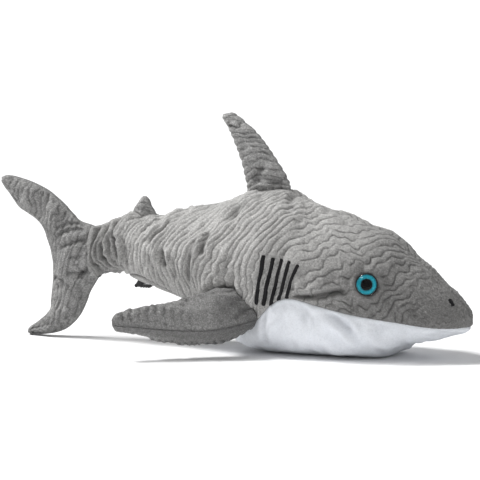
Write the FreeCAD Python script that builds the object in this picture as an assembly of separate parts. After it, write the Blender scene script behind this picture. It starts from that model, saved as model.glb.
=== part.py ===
# Plush shark: a stuffed body of grey and white plush panels, with a sewn-on tail, dorsal fins and pectoral fins,
# safety eyes held by washers, stitched gills and nostrils, and a zip under the rear belly.
# +X is the snout, +Y the shark's left side, +Z up. The toy lies on its belly and on the tip of its lower tail lobe, at z = 0.
import FreeCAD, Part
import math
import os

os.makedirs("parts", exist_ok=True)
V = FreeCAD.Vector

# ---------------------------------------------------------------- driving dimensions (mm)
X_SHIFT = 9.8            # puts the origin under the middle of the toy
NOSE_X = 247.3           # nose seam
TAIL_SEAM_X = -163.0     # where the tail fin is sewn to the tail stock
SKIN_T = 2.2             # plush fabric thickness
GAP = 0.4                # clearance from each panel's edge to the seam line

# station tables: (x, value)
RIDGE_Z = [(-163, 114.6), (-157, 115.6), (-149, 118.7), (-140, 122.2), (-131, 125.8), (-122, 128.9), (-116, 130.8), (-104, 130.4), (-92, 129.6), (-84, 129.1), (-78, 129.8), (-70, 133.0), (-61, 136.1), (-52, 138.5), (-43, 141.3), (-35, 142.2), (-26, 143.8), (-17, 146.2), (-9, 149.0), (0, 153.0), (8, 156.8), (20, 160.0), (32, 161.6), (45, 161.8), (55, 160.8), (64, 155.5), (72, 152.3), (80, 149.1), (88, 146.2), (96, 143.7), (105, 141.3), (114, 138.2), (123, 135.2), (131, 132.3), (140, 128.8), (149, 126.1), (158, 123.3), (166, 119.2), (175, 112.2), (184, 103.3), (192.8, 96.0), (200.2, 90.8), (208.5, 82.9), (216.8, 75.2), (225.2, 69.0), (232.6, 62.6), (239.0, 56.4), (243.7, 50.6), (246.4, 46.0), (247.3, 43.0)]
KEEL_Z = [(-163, 62), (-157, 64.5), (-149, 67.6), (-140, 69), (-131, 70), (-125, 70.2), (-119, 66.6), (-113, 63), (-104, 60.4), (-61, 47.8), (-26, 37.4), (-14, 30.5), (-4, 22), (6, 13.5), (16, 6.4), (26, 1.8), (36, -0.6), (50, -1.2), (100, -1.3), (150, -1.2), (160, -0.4), (168, 2.4), (176, 8), (184, 12.6), (193.7, 15.2), (204.8, 17.4), (215.9, 20.2), (225.2, 23), (234.4, 25), (241.8, 27.4), (245.5, 29.6), (247.3, 32)]
HALF_W = [(-163, 14.5), (-157, 16), (-149, 18), (-140, 20), (-131, 22.6), (-120, 26.4), (-105, 32), (-90, 37), (-75, 41.6), (-60, 46), (-45, 50.2), (-30, 54), (-15, 57.6), (0, 60.8), (15, 63.4), (30, 65.4), (45, 66.8), (60, 67.6), (80, 68), (100, 67.4), (120, 65.4), (140, 62), (160, 57), (180, 51), (199.2, 44.2), (213.1, 38), (225.2, 31.6), (234.4, 25.2), (240.9, 18.6), (245.0, 11.6), (246.8, 5.6), (247.3, 0.0)]
WIDE_Z = [(-163, 88), (-149, 92), (-130, 97), (-110, 95), (-80, 90), (-50, 86), (-20, 80), (20, 72), (60, 66), (100, 62), (140, 57), (180, 53), (208.5, 48), (231.6, 43), (247.3, 38.5)]
N_UP = [(-163, 2.0), (-120, 2.05), (-60, 2.05), (0, 1.95), (40, 1.9), (100, 2.0), (160, 2.1), (217.8, 2.2), (247.3, 2.2)]
N_LOW = [(-163, 2.0), (-120, 2.1), (-60, 2.2), (0, 2.4), (40, 2.6), (100, 2.7), (160, 2.6), (199.2, 2.3), (227.0, 2.2), (247.3, 2.2)]
# height of the grey and white seam, ahead of x = 30
SEAM_Z = [(30, 26), (38, 29.5), (46, 36), (54, 44.5), (61, 51.5), (68, 56.2), (76, 59.4), (84, 60), (95, 58.2), (108, 55), (120, 52), (146, 46.2), (170, 42), (194.6, 37.6), (210.3, 34.6), (223.3, 32.6), (234.4, 32.2), (241.8, 32.4), (247.3, 33)]
# distance of the underside seam from the keel, behind x = 30
SEAM_D = [(-163, 0.0), (-123, 0.0), (-118, 12.0), (-110, 22.0), (-104, 26.0), (-90, 29.5), (-75, 30.0), (-60, 29.5), (-40, 29.0), (-22, 31.0), (-10, 36.0), (5, 45.5), (18, 55.0), (30, 64.3)]


def pchip(table):
    xs = [float(p[0]) for p in table]
    ys = [float(p[1]) for p in table]
    n = len(xs)
    h = [xs[i + 1] - xs[i] for i in range(n - 1)]
    d = [(ys[i + 1] - ys[i]) / h[i] for i in range(n - 1)]
    m = [0.0] * n
    for i in range(1, n - 1):
        if d[i - 1] * d[i] > 0:
            w1, w2 = 2 * h[i] + h[i - 1], h[i] + 2 * h[i - 1]
            m[i] = (w1 + w2) / (w1 / d[i - 1] + w2 / d[i])
    m[0], m[-1] = d[0], d[-1]

    def f(x):
        if x <= xs[0]:
            return ys[0]
        if x >= xs[-1]:
            return ys[-1]
        lo, hi = 0, n - 1
        while hi - lo > 1:
            mid = (lo + hi) // 2
            if xs[mid] <= x:
                lo = mid
            else:
                hi = mid
        t = (x - xs[lo]) / h[lo]
        t2, t3 = t * t, t * t * t
        return (ys[lo] * (2 * t3 - 3 * t2 + 1) + h[lo] * m[lo] * (t3 - 2 * t2 + t)
                + ys[hi] * (3 * t2 - 2 * t3) + h[lo] * m[hi] * (t3 - t2))
    return f


ridge_z, keel_z, half_w, wide_z = pchip(RIDGE_Z), pchip(KEEL_Z), pchip(HALF_W), pchip(WIDE_Z)
n_up, n_low, seam_z, seam_d = pchip(N_UP), pchip(N_LOW), pchip(SEAM_Z), pchip(SEAM_D)
_cache = {}


def half_section(x, inset=0.0):
    """Half of the trunk's section at x as a polyline of (y, z), from ridge to keel, with its running length. y is a distance from the middle plane."""
    key = (round(x, 4), round(inset, 3))
    if key in _cache:
        return _cache[key]
    w, zt, zb, zw = half_w(x), ridge_z(x), keel_z(x), wide_z(x)
    w = w * w / (w + inset) if w > 0 else 0.0
    zt, zb = zt - inset, zb + inset
    zw = min(max(zw, zb + 2), zt - 2)
    a, b = 2.0 / n_up(x), 2.0 / n_low(x)
    pts = []
    n = 90
    for i in range(n + 1):
        th = math.pi / 2 * i / n
        pts.append((w * math.sin(th) ** a, zw + (zt - zw) * math.cos(th) ** a))
    for i in range(1, n + 1):
        th = math.pi / 2 * i / n
        pts.append((w * math.cos(th) ** b, zw - (zw - zb) * math.sin(th) ** b))
    run = [0.0]
    for i in range(1, len(pts)):
        run.append(run[-1] + math.hypot(pts[i][0] - pts[i - 1][0], pts[i][1] - pts[i - 1][1]))
    _cache[key] = (pts, run)
    return _cache[key]


def at_length(pts, run, s):
    if s <= 0:
        return pts[0]
    if s >= run[-1]:
        return pts[-1]
    lo, hi = 0, len(run) - 1
    while hi - lo > 1:
        mid = (lo + hi) // 2
        if run[mid] <= s:
            lo = mid
        else:
            hi = mid
    t = (s - run[lo]) / max(run[hi] - run[lo], 1e-12)
    return (pts[lo][0] + t * (pts[hi][0] - pts[lo][0]), pts[lo][1] + t * (pts[hi][1] - pts[lo][1]))


def trunk(x, f, inset=0.0):
    """Point on the trunk: f runs from 0 at the ridge to 1 at the keel. Gives (x, distance from the middle plane, z)."""
    pts, run = half_section(x, inset)
    y, z = at_length(pts, run, f * run[-1])
    k = (NOSE_X - inset) / NOSE_X
    return (x * k if x > 0 else x, y, z)


def seam_f(x):
    """Fraction f of the grey panels' lower edge."""
    pts, run = half_section(x)
    if x < 30:
        return 1.0 - seam_d(x) / run[-1]
    z = seam_z(x)
    for i in range(len(pts) // 2 - 20, len(pts)):
        if pts[i][1] <= z:
            t = (pts[i - 1][1] - z) / max(pts[i - 1][1] - pts[i][1], 1e-9)
            return (run[i - 1] + t * (run[i] - run[i - 1])) / run[-1]
    return 1.0


def f_at_z(x, z):
    pts, run = half_section(x)
    for i in range(1, len(pts)):
        if pts[i][1] <= z:
            t = (pts[i - 1][1] - z) / max(pts[i - 1][1] - pts[i][1], 1e-9)
            return (run[i - 1] + t * (run[i] - run[i - 1])) / run[-1]
    return 1.0


# ---------------------------------------------------------------- more driving dimensions (mm)
WAD = 1.1                # clearance between the fabric's inner face and the stuffing
SWAY_X = -142.0          # upright axis of the tail's sway
SLEEVE_X = -140.0        # rear edge of the body fabric, around the knuckle
FIN_ROOT_GAP = 1.6       # clearance between a dorsal fin's sewn foot and the back
EYE = (159.8, 76.3)      # x and height of the eyes
EYE_D, PUPIL_D, EYE_H = 22.0, 11.6, 4.6
POST_D, WASHER_D = 5.0, 16.0
ZIP_A, ZIP_B = (-113.0, 62.9), (-26.0, 37.4)      # the zip's line in the middle plane (x, z)
ZIP_PITCH = 3.0
SLIDER_AT, SLIDER_L = 2.0, 9.0
PIN_AT, PIN_DROP, TAB_L = 1.8, 6.0, 15.0            # pull tab: pin along the zip, pin under its line, length

# gill bars and nostril bars of one side, as (x, z) points on the flank
GILLS = [[(54.1, 101.5), (50.5, 77.4), (47.9, 52.8)], [(63.9, 99.4), (59.3, 77.9), (55.0, 52.0)],
         [(72.6, 98.5), (67.8, 78.3), (62.9, 51.6)], [(81.9, 97.4), (76.4, 78.8), (71.2, 57.4)],
         [(91.8, 94.2), (84.7, 79.1), (80.1, 60.5)]]
NOSTRIL = [(230.6, 61.4), (233.6, 58.0), (236.0, 54.8)]

# fin outlines: (leading edge point, trailing edge point) from the first to the last station
TAIL_FIN = [((-261.5, 162.5), (-266.6, 160.4)), ((-254.5, 162.4), (-266.2, 155.4)), ((-245.0, 160.6), (-262.6, 149.6)),
            ((-233.0, 157.4), (-257.6, 144.0)), ((-221.8, 153.2), (-252.6, 137.4)), ((-212.0, 148.5), (-246.4, 130.0)),
            ((-203.6, 142.6), (-236.6, 124.4)), ((-195.0, 135.8), (-227.4, 118.8)), ((-186.4, 127.4), (-221.2, 112.8)),
            ((-177.0, 119.2), (-217.6, 106.6)), ((-167.0, 113.0), (-215.6, 100.4)), ((-163.5, 105.0), (-213.4, 94.6)),
            ((-163.5, 97.0), (-211.4, 89.0)), ((-163.5, 88.0), (-210.2, 83.0)), ((-163.5, 79.0), (-209.0, 77.0)),
            ((-163.5, 71.0), (-208.7, 70.8)), ((-163.5, 63.6), (-208.6, 64.0)), ((-163.2, 56.0), (-208.9, 56.2)),
            ((-166.2, 47.4), (-209.9, 46.8)), ((-169.2, 39.6), (-211.0, 37.4)), ((-172.8, 31.6), (-211.6, 28.8)),
            ((-177.4, 23.4), (-215.6, 22.8)), ((-184.4, 15.2), (-222.0, 17.0)), ((-193.6, 8.0), (-229.2, 11.8)),
            ((-204.0, 3.8), (-234.2, 8.6)), ((-216.0, 1.4), (-236.8, 5.8)), ((-228.0, 0.5), (-237.6, 3.6)),
            ((-234.4, 0.3), (-237.2, 2.0))]
TAIL_FIN_T = [2.0, 4.4, 6.2, 7.2, 7.8, 8.2, 8.6, 9.0, 9.4, 9.6, 9.6, 9.4, 9.0, 8.8, 8.8, 8.8, 9.0, 9.4, 9.6, 9.4, 9.0, 8.6, 8.0, 7.2, 6.0, 4.6, 3.2, 1.8]
TAIL_ROOT = (11, 15)      # first and last station on the tail's root seam

DORSAL = [((55.0, None), (8.4, None)), ((54.4, 166.0), (7.6, 164.6)), ((51.6, 172.0), (5.8, 170.6)), ((48.6, 177.4), (4.4, 176.6)),
          ((43.6, 184.6), (2.6, 184.0)), ((38.6, 191.6), (0.0, 191.4)), ((33.4, 198.6), (-2.8, 198.6)), ((27.6, 206.0), (-6.0, 206.0)),
          ((21.0, 213.4), (-9.2, 213.0)), ((14.0, 220.0), (-12.4, 219.4)), ((7.0, 225.2), (-15.2, 224.8)), ((-1.0, 229.8), (-17.8, 229.2)),
          ((-8.4, 233.0), (-19.4, 231.8)), ((-14.0, 234.6), (-19.6, 233.4))]
DORSAL_T = [0.0, 2.6, 5.2, 7.0, 8.2, 8.6, 8.6, 8.4, 8.0, 7.6, 7.0, 6.0, 4.4, 2.2]
REAR_DORSAL = [((-92.4, None), (-118.4, None)), ((-94.4, 134.0), (-117.2, 134.0)), ((-97.4, 138.0), (-114.6, 138.0)),
               ((-100.2, 141.6), (-112.2, 141.8)), ((-102.8, 144.8), (-109.8, 145.2)), ((-104.8, 147.0), (-107.2, 147.2))]
REAR_DORSAL_T = [0.0, 2.2, 3.0, 3.0, 2.2, 0.8]

# pectoral fin of the right side: (leading edge, trailing edge), from the root to the tip
PECT_ROOT = ((46.0, 38.0), (-14.0, 58.0))         # root seam on the flank (x, z)
PECT_CLEAR = 3.4
PECTORAL = [((41.3, -74.6, 35.4), (-14.5, -75.5, 55.6)), ((34.8, -80.5, 33.4), (-20.6, -80.9, 55.1)), ((27.2, -87.5, 31.3), (-26.4, -86.8, 54.2)),
            ((18.2, -95.2, 29.5), (-32.7, -93.7, 52.8)), ((7.4, -102.3, 28.7), (-39.3, -100.7, 51.4)), ((-4.2, -108.6, 28.8), (-45.5, -107.1, 50.0)),
            ((-16.8, -115.3, 29.2), (-52.2, -113.7, 48.7)), ((-29.5, -121.6, 30.2), (-58.6, -119.6, 47.8)), ((-42.4, -127.7, 31.6), (-63.9, -125.7, 46.6)),
            ((-53.9, -134.2, 32.9), (-68.6, -131.7, 45.3)), ((-62.7, -140.7, 33.8), (-72.1, -137.0, 43.8)), ((-68.7, -145.4, 35.1), (-73.6, -141.0, 41.9)),
            ((-72.3, -145.7, 37.1), (-73.7, -143.6, 40.1))]
PECT_T = [3.4, 6.4, 8.6, 10.2, 11.2, 11.6, 11.4, 10.8, 9.8, 8.6, 7.0, 4.8, 2.0]
PECT_LOW_T = [4.4, 8.4, 12.0, 14.4, 15.6, 15.6, 14.6, 13.2, 11.4, 9.4, 7.2, 4.8, 2.0]     # underside
PECT_N = (0.300, -0.438, 0.847)


# ---------------------------------------------------------------- solid helpers
def clamped(n):
    """Degree, knots and multiplicities of a clamped spline over n poles."""
    deg = min(3, n - 1)
    spans = n - deg
    return deg, [float(i) for i in range(spans + 1)], [deg + 1] + [1] * (spans - 1) + [deg + 1]


def spline_face(grid):
    poles = [[V(*p) for p in row] for row in grid]
    du, uk, um = clamped(len(poles))
    dv, vk, vm = clamped(len(poles[0]))
    s = Part.BSplineSurface()
    s.buildFromPolesMultsKnots(poles, um, vm, uk, vk, False, False, du, dv)
    return s.toShape()


def patch_solid(outer, inner):
    """Closed solid between two grids of the same size: two faces and the four strips that join their edges."""
    faces = [spline_face(outer), spline_face(inner)]
    for a, b in ((outer[0], inner[0]), (outer[-1], inner[-1]),
                 ([r[0] for r in outer], [r[0] for r in inner]), ([r[-1] for r in outer], [r[-1] for r in inner])):
        faces.append(spline_face([[p, q] for p, q in zip(a, b)]))
    shell = Part.makeShell(faces)
    shell.sewShape()
    solid = Part.makeSolid(shell)
    if solid.Volume < 0:
        solid.reverse()
    return solid


def mirrored(shape):
    return shape.mirror(V(0, 0, 0), V(0, 1, 0))


def side(p, sign, shift=0.0):
    return (p[0], sign * (max(p[1], 0.0) + shift), p[2])


def save(name, shape):
    if isinstance(shape, list):
        shape = Part.makeCompound(shape) if len(shape) > 1 else shape[0]
    shape = shape.copy()
    shape.translate(V(X_SHIFT, 0, 0))
    ok = shape.isValid() and all(s.Volume > 0 for s in shape.Solids)
    bb = shape.BoundBox
    print("%-26s solids %2d valid %s vol %9.1f  x %7.1f %7.1f  y %7.1f %7.1f  z %6.1f %6.1f" % (
        name, len(shape.Solids), ok, shape.Volume, bb.XMin, bb.XMax, bb.YMin, bb.YMax, bb.ZMin, bb.ZMax))
    shape.exportStep("parts/%s.step" % name)


def both_sides(name, shape):
    save(name + "_right", shape)
    save(name + "_left", [mirrored(s) for s in shape] if isinstance(shape, list) else mirrored(shape))


def lerp(a, b, t):
    return tuple(a[i] + t * (b[i] - a[i]) for i in range(len(a)))


def normal_at(x, f):
    """Outward normal of the trunk on its right side, in (x, y, z)."""
    e, df = 0.8, 0.004
    a, b = side(trunk(x - e, f), -1), side(trunk(x + e, f), -1)
    c, d = side(trunk(x, max(f - df, 0)), -1), side(trunk(x, min(f + df, 1)), -1)
    n = V(*b).sub(V(*a)).cross(V(*d).sub(V(*c)))
    n.normalize()
    p = V(*side(trunk(x, f), -1))
    if n.y * (-1) + n.z * (p.z - wide_z(x)) * 0.02 < 0:
        n = n.negative()
    return p, n


# ---------------------------------------------------------------- body panels
REAR_STATIONS = [-140.0, -135.0, -130.0, -126.0, -123.0, -120.5, -118.0, -114.5, -110.0, -104.0, -98.0, -92.0, -86.0, -80.0, -74.0,
                 -68.0, -62.0, -56.0, -50.0, -44.0, -38.0, -32.0, -26.5, -21.5]
FRONT_STATIONS = [-21.5, -16.0, -10.5, -5.0, 0.0, 5.5, 11.0, 16.5, 22.0, 27.5, 33.0, 38.5, 44.0, 49.5, 55.0, 60.5, 66.0, 71.5, 77.0, 83.0, 89.0,
                  95.0, 101.0, 107.0, 113.0, 119.0, 125.0, 131.0, 137.0, 143.0, 149.0, 155.0, 161.0, 167.0, 173.0, 179.0, 185.0, 191.0, 197.0,
                  203.0, 209.0, 215.0, 220.0, 225.0, 229.5, 233.5, 237.0, 240.0, 242.5, 244.5, 246.0, 246.9, NOSE_X]
ALL_STATIONS = REAR_STATIONS + FRONT_STATIONS[1:]


def section_length(x):
    return half_section(x)[1][-1]


def grid_on_trunk(stations, f_from, f_to, n, inset, sign=-1, shift=GAP):
    rows = []
    for x in stations:
        a, b = f_from(x), f_to(x)
        rows.append([side(trunk(x, a + (b - a) * j / n, inset), sign, shift) for j in range(n + 1)])
    return rows


def back_low(x):
    if x < -122.5:
        return 1.0
    return seam_f(x) - GAP / section_length(x)


def belly_top(x):
    return min(seam_f(x) + GAP / section_length(x), 0.985)


def zip_edge(x):
    return 1.0 - 5.2 / section_length(x)


def back_panel():
    out = grid_on_trunk(ALL_STATIONS, lambda x: 0.0, back_low, 22, 0.0)
    inn = grid_on_trunk(ALL_STATIONS, lambda x: 0.0, back_low, 22, SKIN_T)
    return patch_solid(out, inn)


def belly_panel():
    n = 12

    def rows(inset):
        grid = []
        for x in FRONT_STATIONS[:-2]:
            a = belly_top(x)
            half = [side(trunk(x, a + (1.0 - a) * j / n, inset), -1) for j in range(n + 1)]
            half[-1] = (half[-1][0], 0.0, half[-1][2])
            grid.append(half + [(p[0], -p[1], p[2]) for p in reversed(half[:-1])])
        return grid
    solid = patch_solid(rows(0.0), rows(SKIN_T))
    return solid.cut(Part.makeBox(600, 300, 20, V(-300, -150, -20))).Solids[0]


def placket():
    st = [x for x in REAR_STATIONS if -119 < x < -21] + [-22.3]
    st = sorted(set([x for x in st if x <= -22.3]))
    out = grid_on_trunk(st, lambda x: belly_top(x), zip_edge, 6, 0.0, shift=0.0)
    inn = grid_on_trunk(st, lambda x: belly_top(x), zip_edge, 6, SKIN_T, shift=0.0)
    return patch_solid(out, inn)


def trunk_core():
    st = [x for x in ALL_STATIONS if x > -123.5]
    right = grid_on_trunk(st, lambda x: 0.0, lambda x: 1.0, 30, SKIN_T + WAD, -1, 0.5)
    left = grid_on_trunk(st, lambda x: 0.0, lambda x: 1.0, 30, SKIN_T + WAD, 1, 0.5)
    return patch_solid(right, left)


# ---------------------------------------------------------------- eyes
def eye_frame():
    p, n = normal_at(EYE[0], f_at_z(EYE[0], EYE[1]))
    return p, n


def disc(p, n, r, t0, t1):
    return Part.makeCylinder(r, t1 - t0, p + n * t0, n)


def eye_parts():
    p, n = eye_frame()
    seat = 1.0
    back = disc(p, n, EYE_D / 2, seat, seat + 1.6).fuse(disc(p, n, POST_D / 2, -15.0, seat + 0.8))
    cup = disc(p, n, EYE_D / 2, seat + 1.5, seat + 2.6).cut(disc(p, n, EYE_D / 2 - 0.9, seat + 1.4, seat + 2.7))
    back = back.fuse(cup).removeSplitter()
    ring = disc(p, n, EYE_D / 2 - 1.1, seat + 1.8, seat + 2.4).cut(disc(p, n, PUPIL_D / 2 + 0.1, seat + 1.7, seat + 2.5))
    pupil = disc(p, n, PUPIL_D / 2, seat + 1.8, seat + 2.5)
    r = EYE_D / 2 - 0.1
    ball = (r * r + EYE_H * EYE_H) / (2 * EYE_H)
    base = seat + 2.8
    dome = Part.makeSphere(ball, p + n * (base + EYE_H - ball)).common(disc(p, n, r + 1, base, base + EYE_H + 1))
    washer = disc(p, n, WASHER_D / 2, -5.0, -3.6).cut(disc(p, n, POST_D / 2 + 0.08, -5.1, -3.5))
    return back, ring, pupil, dome, washer


# ---------------------------------------------------------------- embroidery
def bar(points, width, lift=0.65, thick=0.8, n=14):
    """Raised satin-stitched bar along a curve on the right flank."""
    (x0, z0), (x1, z1), (x2, z2) = points
    cx, cz = 2 * x1 - (x0 + x2) / 2, 2 * z1 - (z0 + z2) / 2
    outer, inner = [], []
    for i in range(n + 1):
        t = i / n
        x = (1 - t) ** 2 * x0 + 2 * t * (1 - t) * cx + t * t * x2
        z = (1 - t) ** 2 * z0 + 2 * t * (1 - t) * cz + t * t * z2
        tx = 2 * (1 - t) * (cx - x0) + 2 * t * (x2 - cx)
        tz = 2 * (1 - t) * (cz - z0) + 2 * t * (z2 - cz)
        k = math.hypot(tx, tz)
        half = width / 2 * min(1.0, 0.55 + 4.0 * min(t, 1 - t))
        ro, ri = [], []
        for j in range(5):
            o = half * (j - 2) / 2.0
            px, pz = x - tz / k * o, z + tx / k * o
            q, nn = normal_at(px, f_at_z(px, pz))
            crown = thick * (1.0 - 0.55 * ((j - 2) / 2.0) ** 2)
            a, b = q + nn * lift, q + nn * (lift + crown)
            ri.append((a.x, a.y, a.z))
            ro.append((b.x, b.y, b.z))
        outer.append(ro)
        inner.append(ri)
    return patch_solid(outer, inner)


# ---------------------------------------------------------------- fins
def resample(stations, per=2):
    """Catmull-Rom points through the stations, per pieces between neighbours."""
    out = []
    m = len(stations)
    for i in range(m - 1):
        p = [stations[max(min(i + k, m - 1), 0)] for k in (-1, 0, 1, 2)]
        for j in range(per):
            t = j / per
            out.append(tuple(0.5 * (2 * b + (c - a) * t + (2 * a - 5 * b + 4 * c - d) * t * t + (3 * b - a - 3 * c + d) * t ** 3)
                             for a, b, c, d in zip(*p)))
    out.append(tuple(stations[-1]))
    return out


def bulge(t):
    return math.sin(math.pi * t) ** 0.8 if 0 < t < 1 else 0.0


def full(t):
    """Profile of a pectoral fin's underside, fullest behind its leading edge."""
    return math.sin(math.pi * t ** 0.62) ** 0.8 if 0 < t < 1 else 0.0


def fin_panel(lead, trail, thick, normal, sign, n=12, root=None, prof=bulge):
    """One fabric face of a fin. thick is the half-thickness of the filling at each station; root is an open root's own profile."""
    outer, inner = [], []
    for i, (a, b, T) in enumerate(zip(lead, trail, thick)):
        ro, ri = [], []
        for j in range(n + 1):
            t = 0.5 - 0.5 * math.cos(math.pi * j / n)
            d = T * prof(t)
            if root is not None:
                v = (1 - t) ** 2 * (1 + 2 * t)
                d = math.sqrt(d ** 2 + (root[i] * v) ** 2)
            p = lerp(a, b, t)
            ri.append(tuple(p[k] + sign * normal[k] * (GAP / 2 + d) for k in range(3)))
            ro.append(tuple(p[k] + sign * normal[k] * (GAP / 2 + d + SKIN_T) for k in range(3)))
        outer.append(ro)
        inner.append(ri)
    return patch_solid(outer, inner)


def fin_core(lead, trail, thick, normal, n=12, root=None, t0=0.05, under=None):
    top, low = [], []
    for i, (a, b, T) in enumerate(zip(lead, trail, thick)):
        if T < 2.4:
            continue
        rt, rl = [], []
        for j in range(n + 1):
            t = t0 + (1 - 2 * t0) * (0.5 - 0.5 * math.cos(math.pi * j / n))
            d = T * bulge(t)
            if root is not None:
                v = (1 - t) ** 2 * (1 + 2 * t)
                d = math.sqrt((T * bulge(t)) ** 2 + (root[i] * v) ** 2)
            e = d if under is None else under[i] * full(t)
            d, e = max(d - WAD, 0.35), max(e - WAD, 0.35)
            p = lerp(a, b, t)
            rt.append(tuple(p[k] + normal[k] * d for k in range(3)))
            rl.append(tuple(p[k] - normal[k] * e for k in range(3)))
        top.append(rt)
        low.append(rl)
    return patch_solid(top, low)


def flat_fin(stations, foot_gap):
    """Fin in the middle plane whose first station follows the back."""
    st = []
    for k, (a, b) in enumerate(stations):
        if a[1] is None:
            a, b = (a[0], ridge_z(a[0]) + foot_gap), (b[0], ridge_z(b[0]) + foot_gap)
        st.append((a[0], a[1], b[0], b[1]))
    return st


def back_fin(name, stations, thick):
    st = flat_fin(stations, FIN_ROOT_GAP)
    rs = resample(st, 2)
    th = [t[0] for t in resample([(t,) for t in thick], 2)]
    lead = [(r[0], 0.0, r[1]) for r in rs]
    trail = [(r[2], 0.0, r[3]) for r in rs]

    def foot(grid):
        """The foot follows the arched back."""
        rows = []
        for i, row in enumerate(grid):
            k = max(0.0, 1.0 - i / 3.0)
            a, b = row[0], row[-1]
            new = []
            for p in row:
                t = (p[0] - a[0]) / (b[0] - a[0]) if abs(b[0] - a[0]) > 1e-6 else 0.0
                line = (ridge_z(a[0]) * (1 - t) + ridge_z(b[0]) * t)
                new.append((p[0], p[1], p[2] + k * max(ridge_z(p[0]) - line, 0.0)))
            rows.append(new)
        return rows
    for label, sign in (("_right", -1), ("_left", 1)):
        outer, inner = [], []
        for a, b, T in zip(lead, trail, th):
            ro, ri = [], []
            for j in range(13):
                t = 0.5 - 0.5 * math.cos(math.pi * j / 12)
                d = T * bulge(t)
                p = lerp(a, b, t)
                ri.append((p[0], sign * (GAP / 2 + d), p[2]))
                ro.append((p[0], sign * (GAP / 2 + d + SKIN_T), p[2]))
            outer.append(ro)
            inner.append(ri)
        save(name + "_panel" + label, patch_solid(foot(outer), foot(inner)))
    keep = [i for i, T in enumerate(th) if T >= (2.4 if max(th) > 4 else 1.8)]
    lead, trail, th2 = [lead[i] for i in keep], [trail[i] for i in keep], [max(th[i], 2.4) if max(th) > 4 else th[i] for i in keep]
    if max(th) > 4:
        core = fin_core(lead, trail, th2, (0.0, 1.0, 0.0), t0=0.06)
    else:
        top, low = [], []
        for a, b, T in zip(lead, trail, th2):
            rt, rl = [], []
            for j in range(9):
                t = 0.12 + 0.76 * j / 8
                d = max(T * bulge(t) - 0.5, 0.3)
                p = lerp(a, b, t)
                rt.append((p[0], -d, p[2]))
                rl.append((p[0], d, p[2]))
            top.append(rt)
            low.append(rl)
        core = patch_solid(top, low)
    save(name + "_stuffing", core)


# ---------------------------------------------------------------- build the body
panel = back_panel()
p_eye, n_eye = eye_frame()
panel = panel.cut(disc(p_eye, n_eye, POST_D / 2 + 0.4, -8.0, 4.0)).Solids[0]
both_sides("back_panel", panel)
save("belly_panel", belly_panel())
both_sides("zip_placket", placket())

core = trunk_core()
dx, dz = ZIP_B[0] - ZIP_A[0], ZIP_B[1] - ZIP_A[1]
zl = math.hypot(dx, dz)
zd = V(dx / zl, 0, dz / zl)
zin = V(-zd.z, 0, zd.x)                      # into the body


def zip_box(s0, s1, y0, y1, c0, c1):
    """Box in the zip's frame: s along the zip from its rear end, y across, c into the body."""
    b = Part.makeBox(s1 - s0, y1 - y0, c1 - c0)
    b.translate(V(s0, y0, c0))
    turn = FreeCAD.Placement(V(ZIP_A[0], 0, ZIP_A[1]), FreeCAD.Rotation(zd, V(0, 1, 0), zin, "XYZ"))
    b.Placement = turn.multiply(b.Placement)
    return b


core = core.cut(zip_box(-8.0, zl + 6.0, -9.6, 9.6, -6.0, 6.0))
for sgn in (1, -1):
    pe = V(p_eye.x, -sgn * p_eye.y, p_eye.z)
    ne = V(n_eye.x, -sgn * n_eye.y, n_eye.z)
    core = core.cut(disc(pe, ne, WASHER_D / 2 + 1.0, -17.0, 6.0))
save("trunk_stuffing", max(core.Solids, key=lambda s: s.Volume))

# eyes
for sgn, label in ((-1, "right"), (1, "left")):
    parts = eye_parts()
    if sgn > 0:
        parts = [mirrored(s) for s in parts]
    for piece, shape in zip(("back", "iris", "pupil", "lens", "washer"), parts):
        save("eye_%s_%s" % (piece, label), shape)

# gills and nostrils
both_sides("gill_stitches", [bar(g, 3.2) for g in GILLS])
both_sides("nostril_stitches", bar(NOSTRIL, 2.2, 0.55, 0.6, 8))

# ---------------------------------------------------------------- zip
teeth_r, teeth_l = [], []
i = 0
while ZIP_PITCH * i + 4.2 < zl:
    s = 2.0 + ZIP_PITCH * i
    teeth_r.append(zip_box(s, s + 1.2, -3.0, 0.9, 1.2, 4.2))
    teeth_l.append(zip_box(s + 1.5, s + 2.7, -0.9, 3.0, 1.2, 4.2))
    i += 1
save("zip_teeth_right", teeth_r)
save("zip_teeth_left", teeth_l)
save("zip_tape_right", zip_box(-3.0, zl + 2.0, -8.6, -3.4, 4.2, 4.9))
save("zip_tape_left", zip_box(-3.0, zl + 2.0, 3.4, 8.6, 4.2, 4.9))
save("zip_stops", [zip_box(-1.4, 1.4, -3.0, 3.0, 1.2, 4.2), zip_box(zl - 0.8, zl + 1.6, -3.0, 3.0, 1.2, 4.2)])
s0, s1 = SLIDER_AT, SLIDER_AT + SLIDER_L


def zip_prism(points, y0, y1):
    """Solid of the polygon points (s, c) of the zip's frame, between y0 and y1."""
    wire = [V(ZIP_A[0], y0, ZIP_A[1]) + zd * s + zin * c for s, c in points]
    return Part.Face(Part.makePolygon(wire + [wire[0]])).extrude(V(0, y1 - y0, 0))


slider = zip_box(s0, s1, -4.5, 4.5, -1.0, 0.7)
slider = slider.fuse(zip_box(s0, s1, -4.5, -3.5, 0.6, 2.7)).fuse(zip_box(s0, s1, 3.5, 4.5, 0.6, 2.7))
piv = V(ZIP_A[0], 0, ZIP_A[1]) + zd * PIN_AT + zin * (-PIN_DROP)
for y0 in (-4.3, 2.9):
    ear = zip_prism([(s0, -0.9), (s0 + 5.6, -0.9), (s0 + 5.6, -2.2), (PIN_AT + 1.9, -PIN_DROP), (s0 - 1.6, -PIN_DROP)], y0, y0 + 1.4)
    slider = slider.fuse(ear).fuse(Part.makeCylinder(1.9, 1.4, piv + V(0, y0, 0), V(0, 1, 0)))
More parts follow.
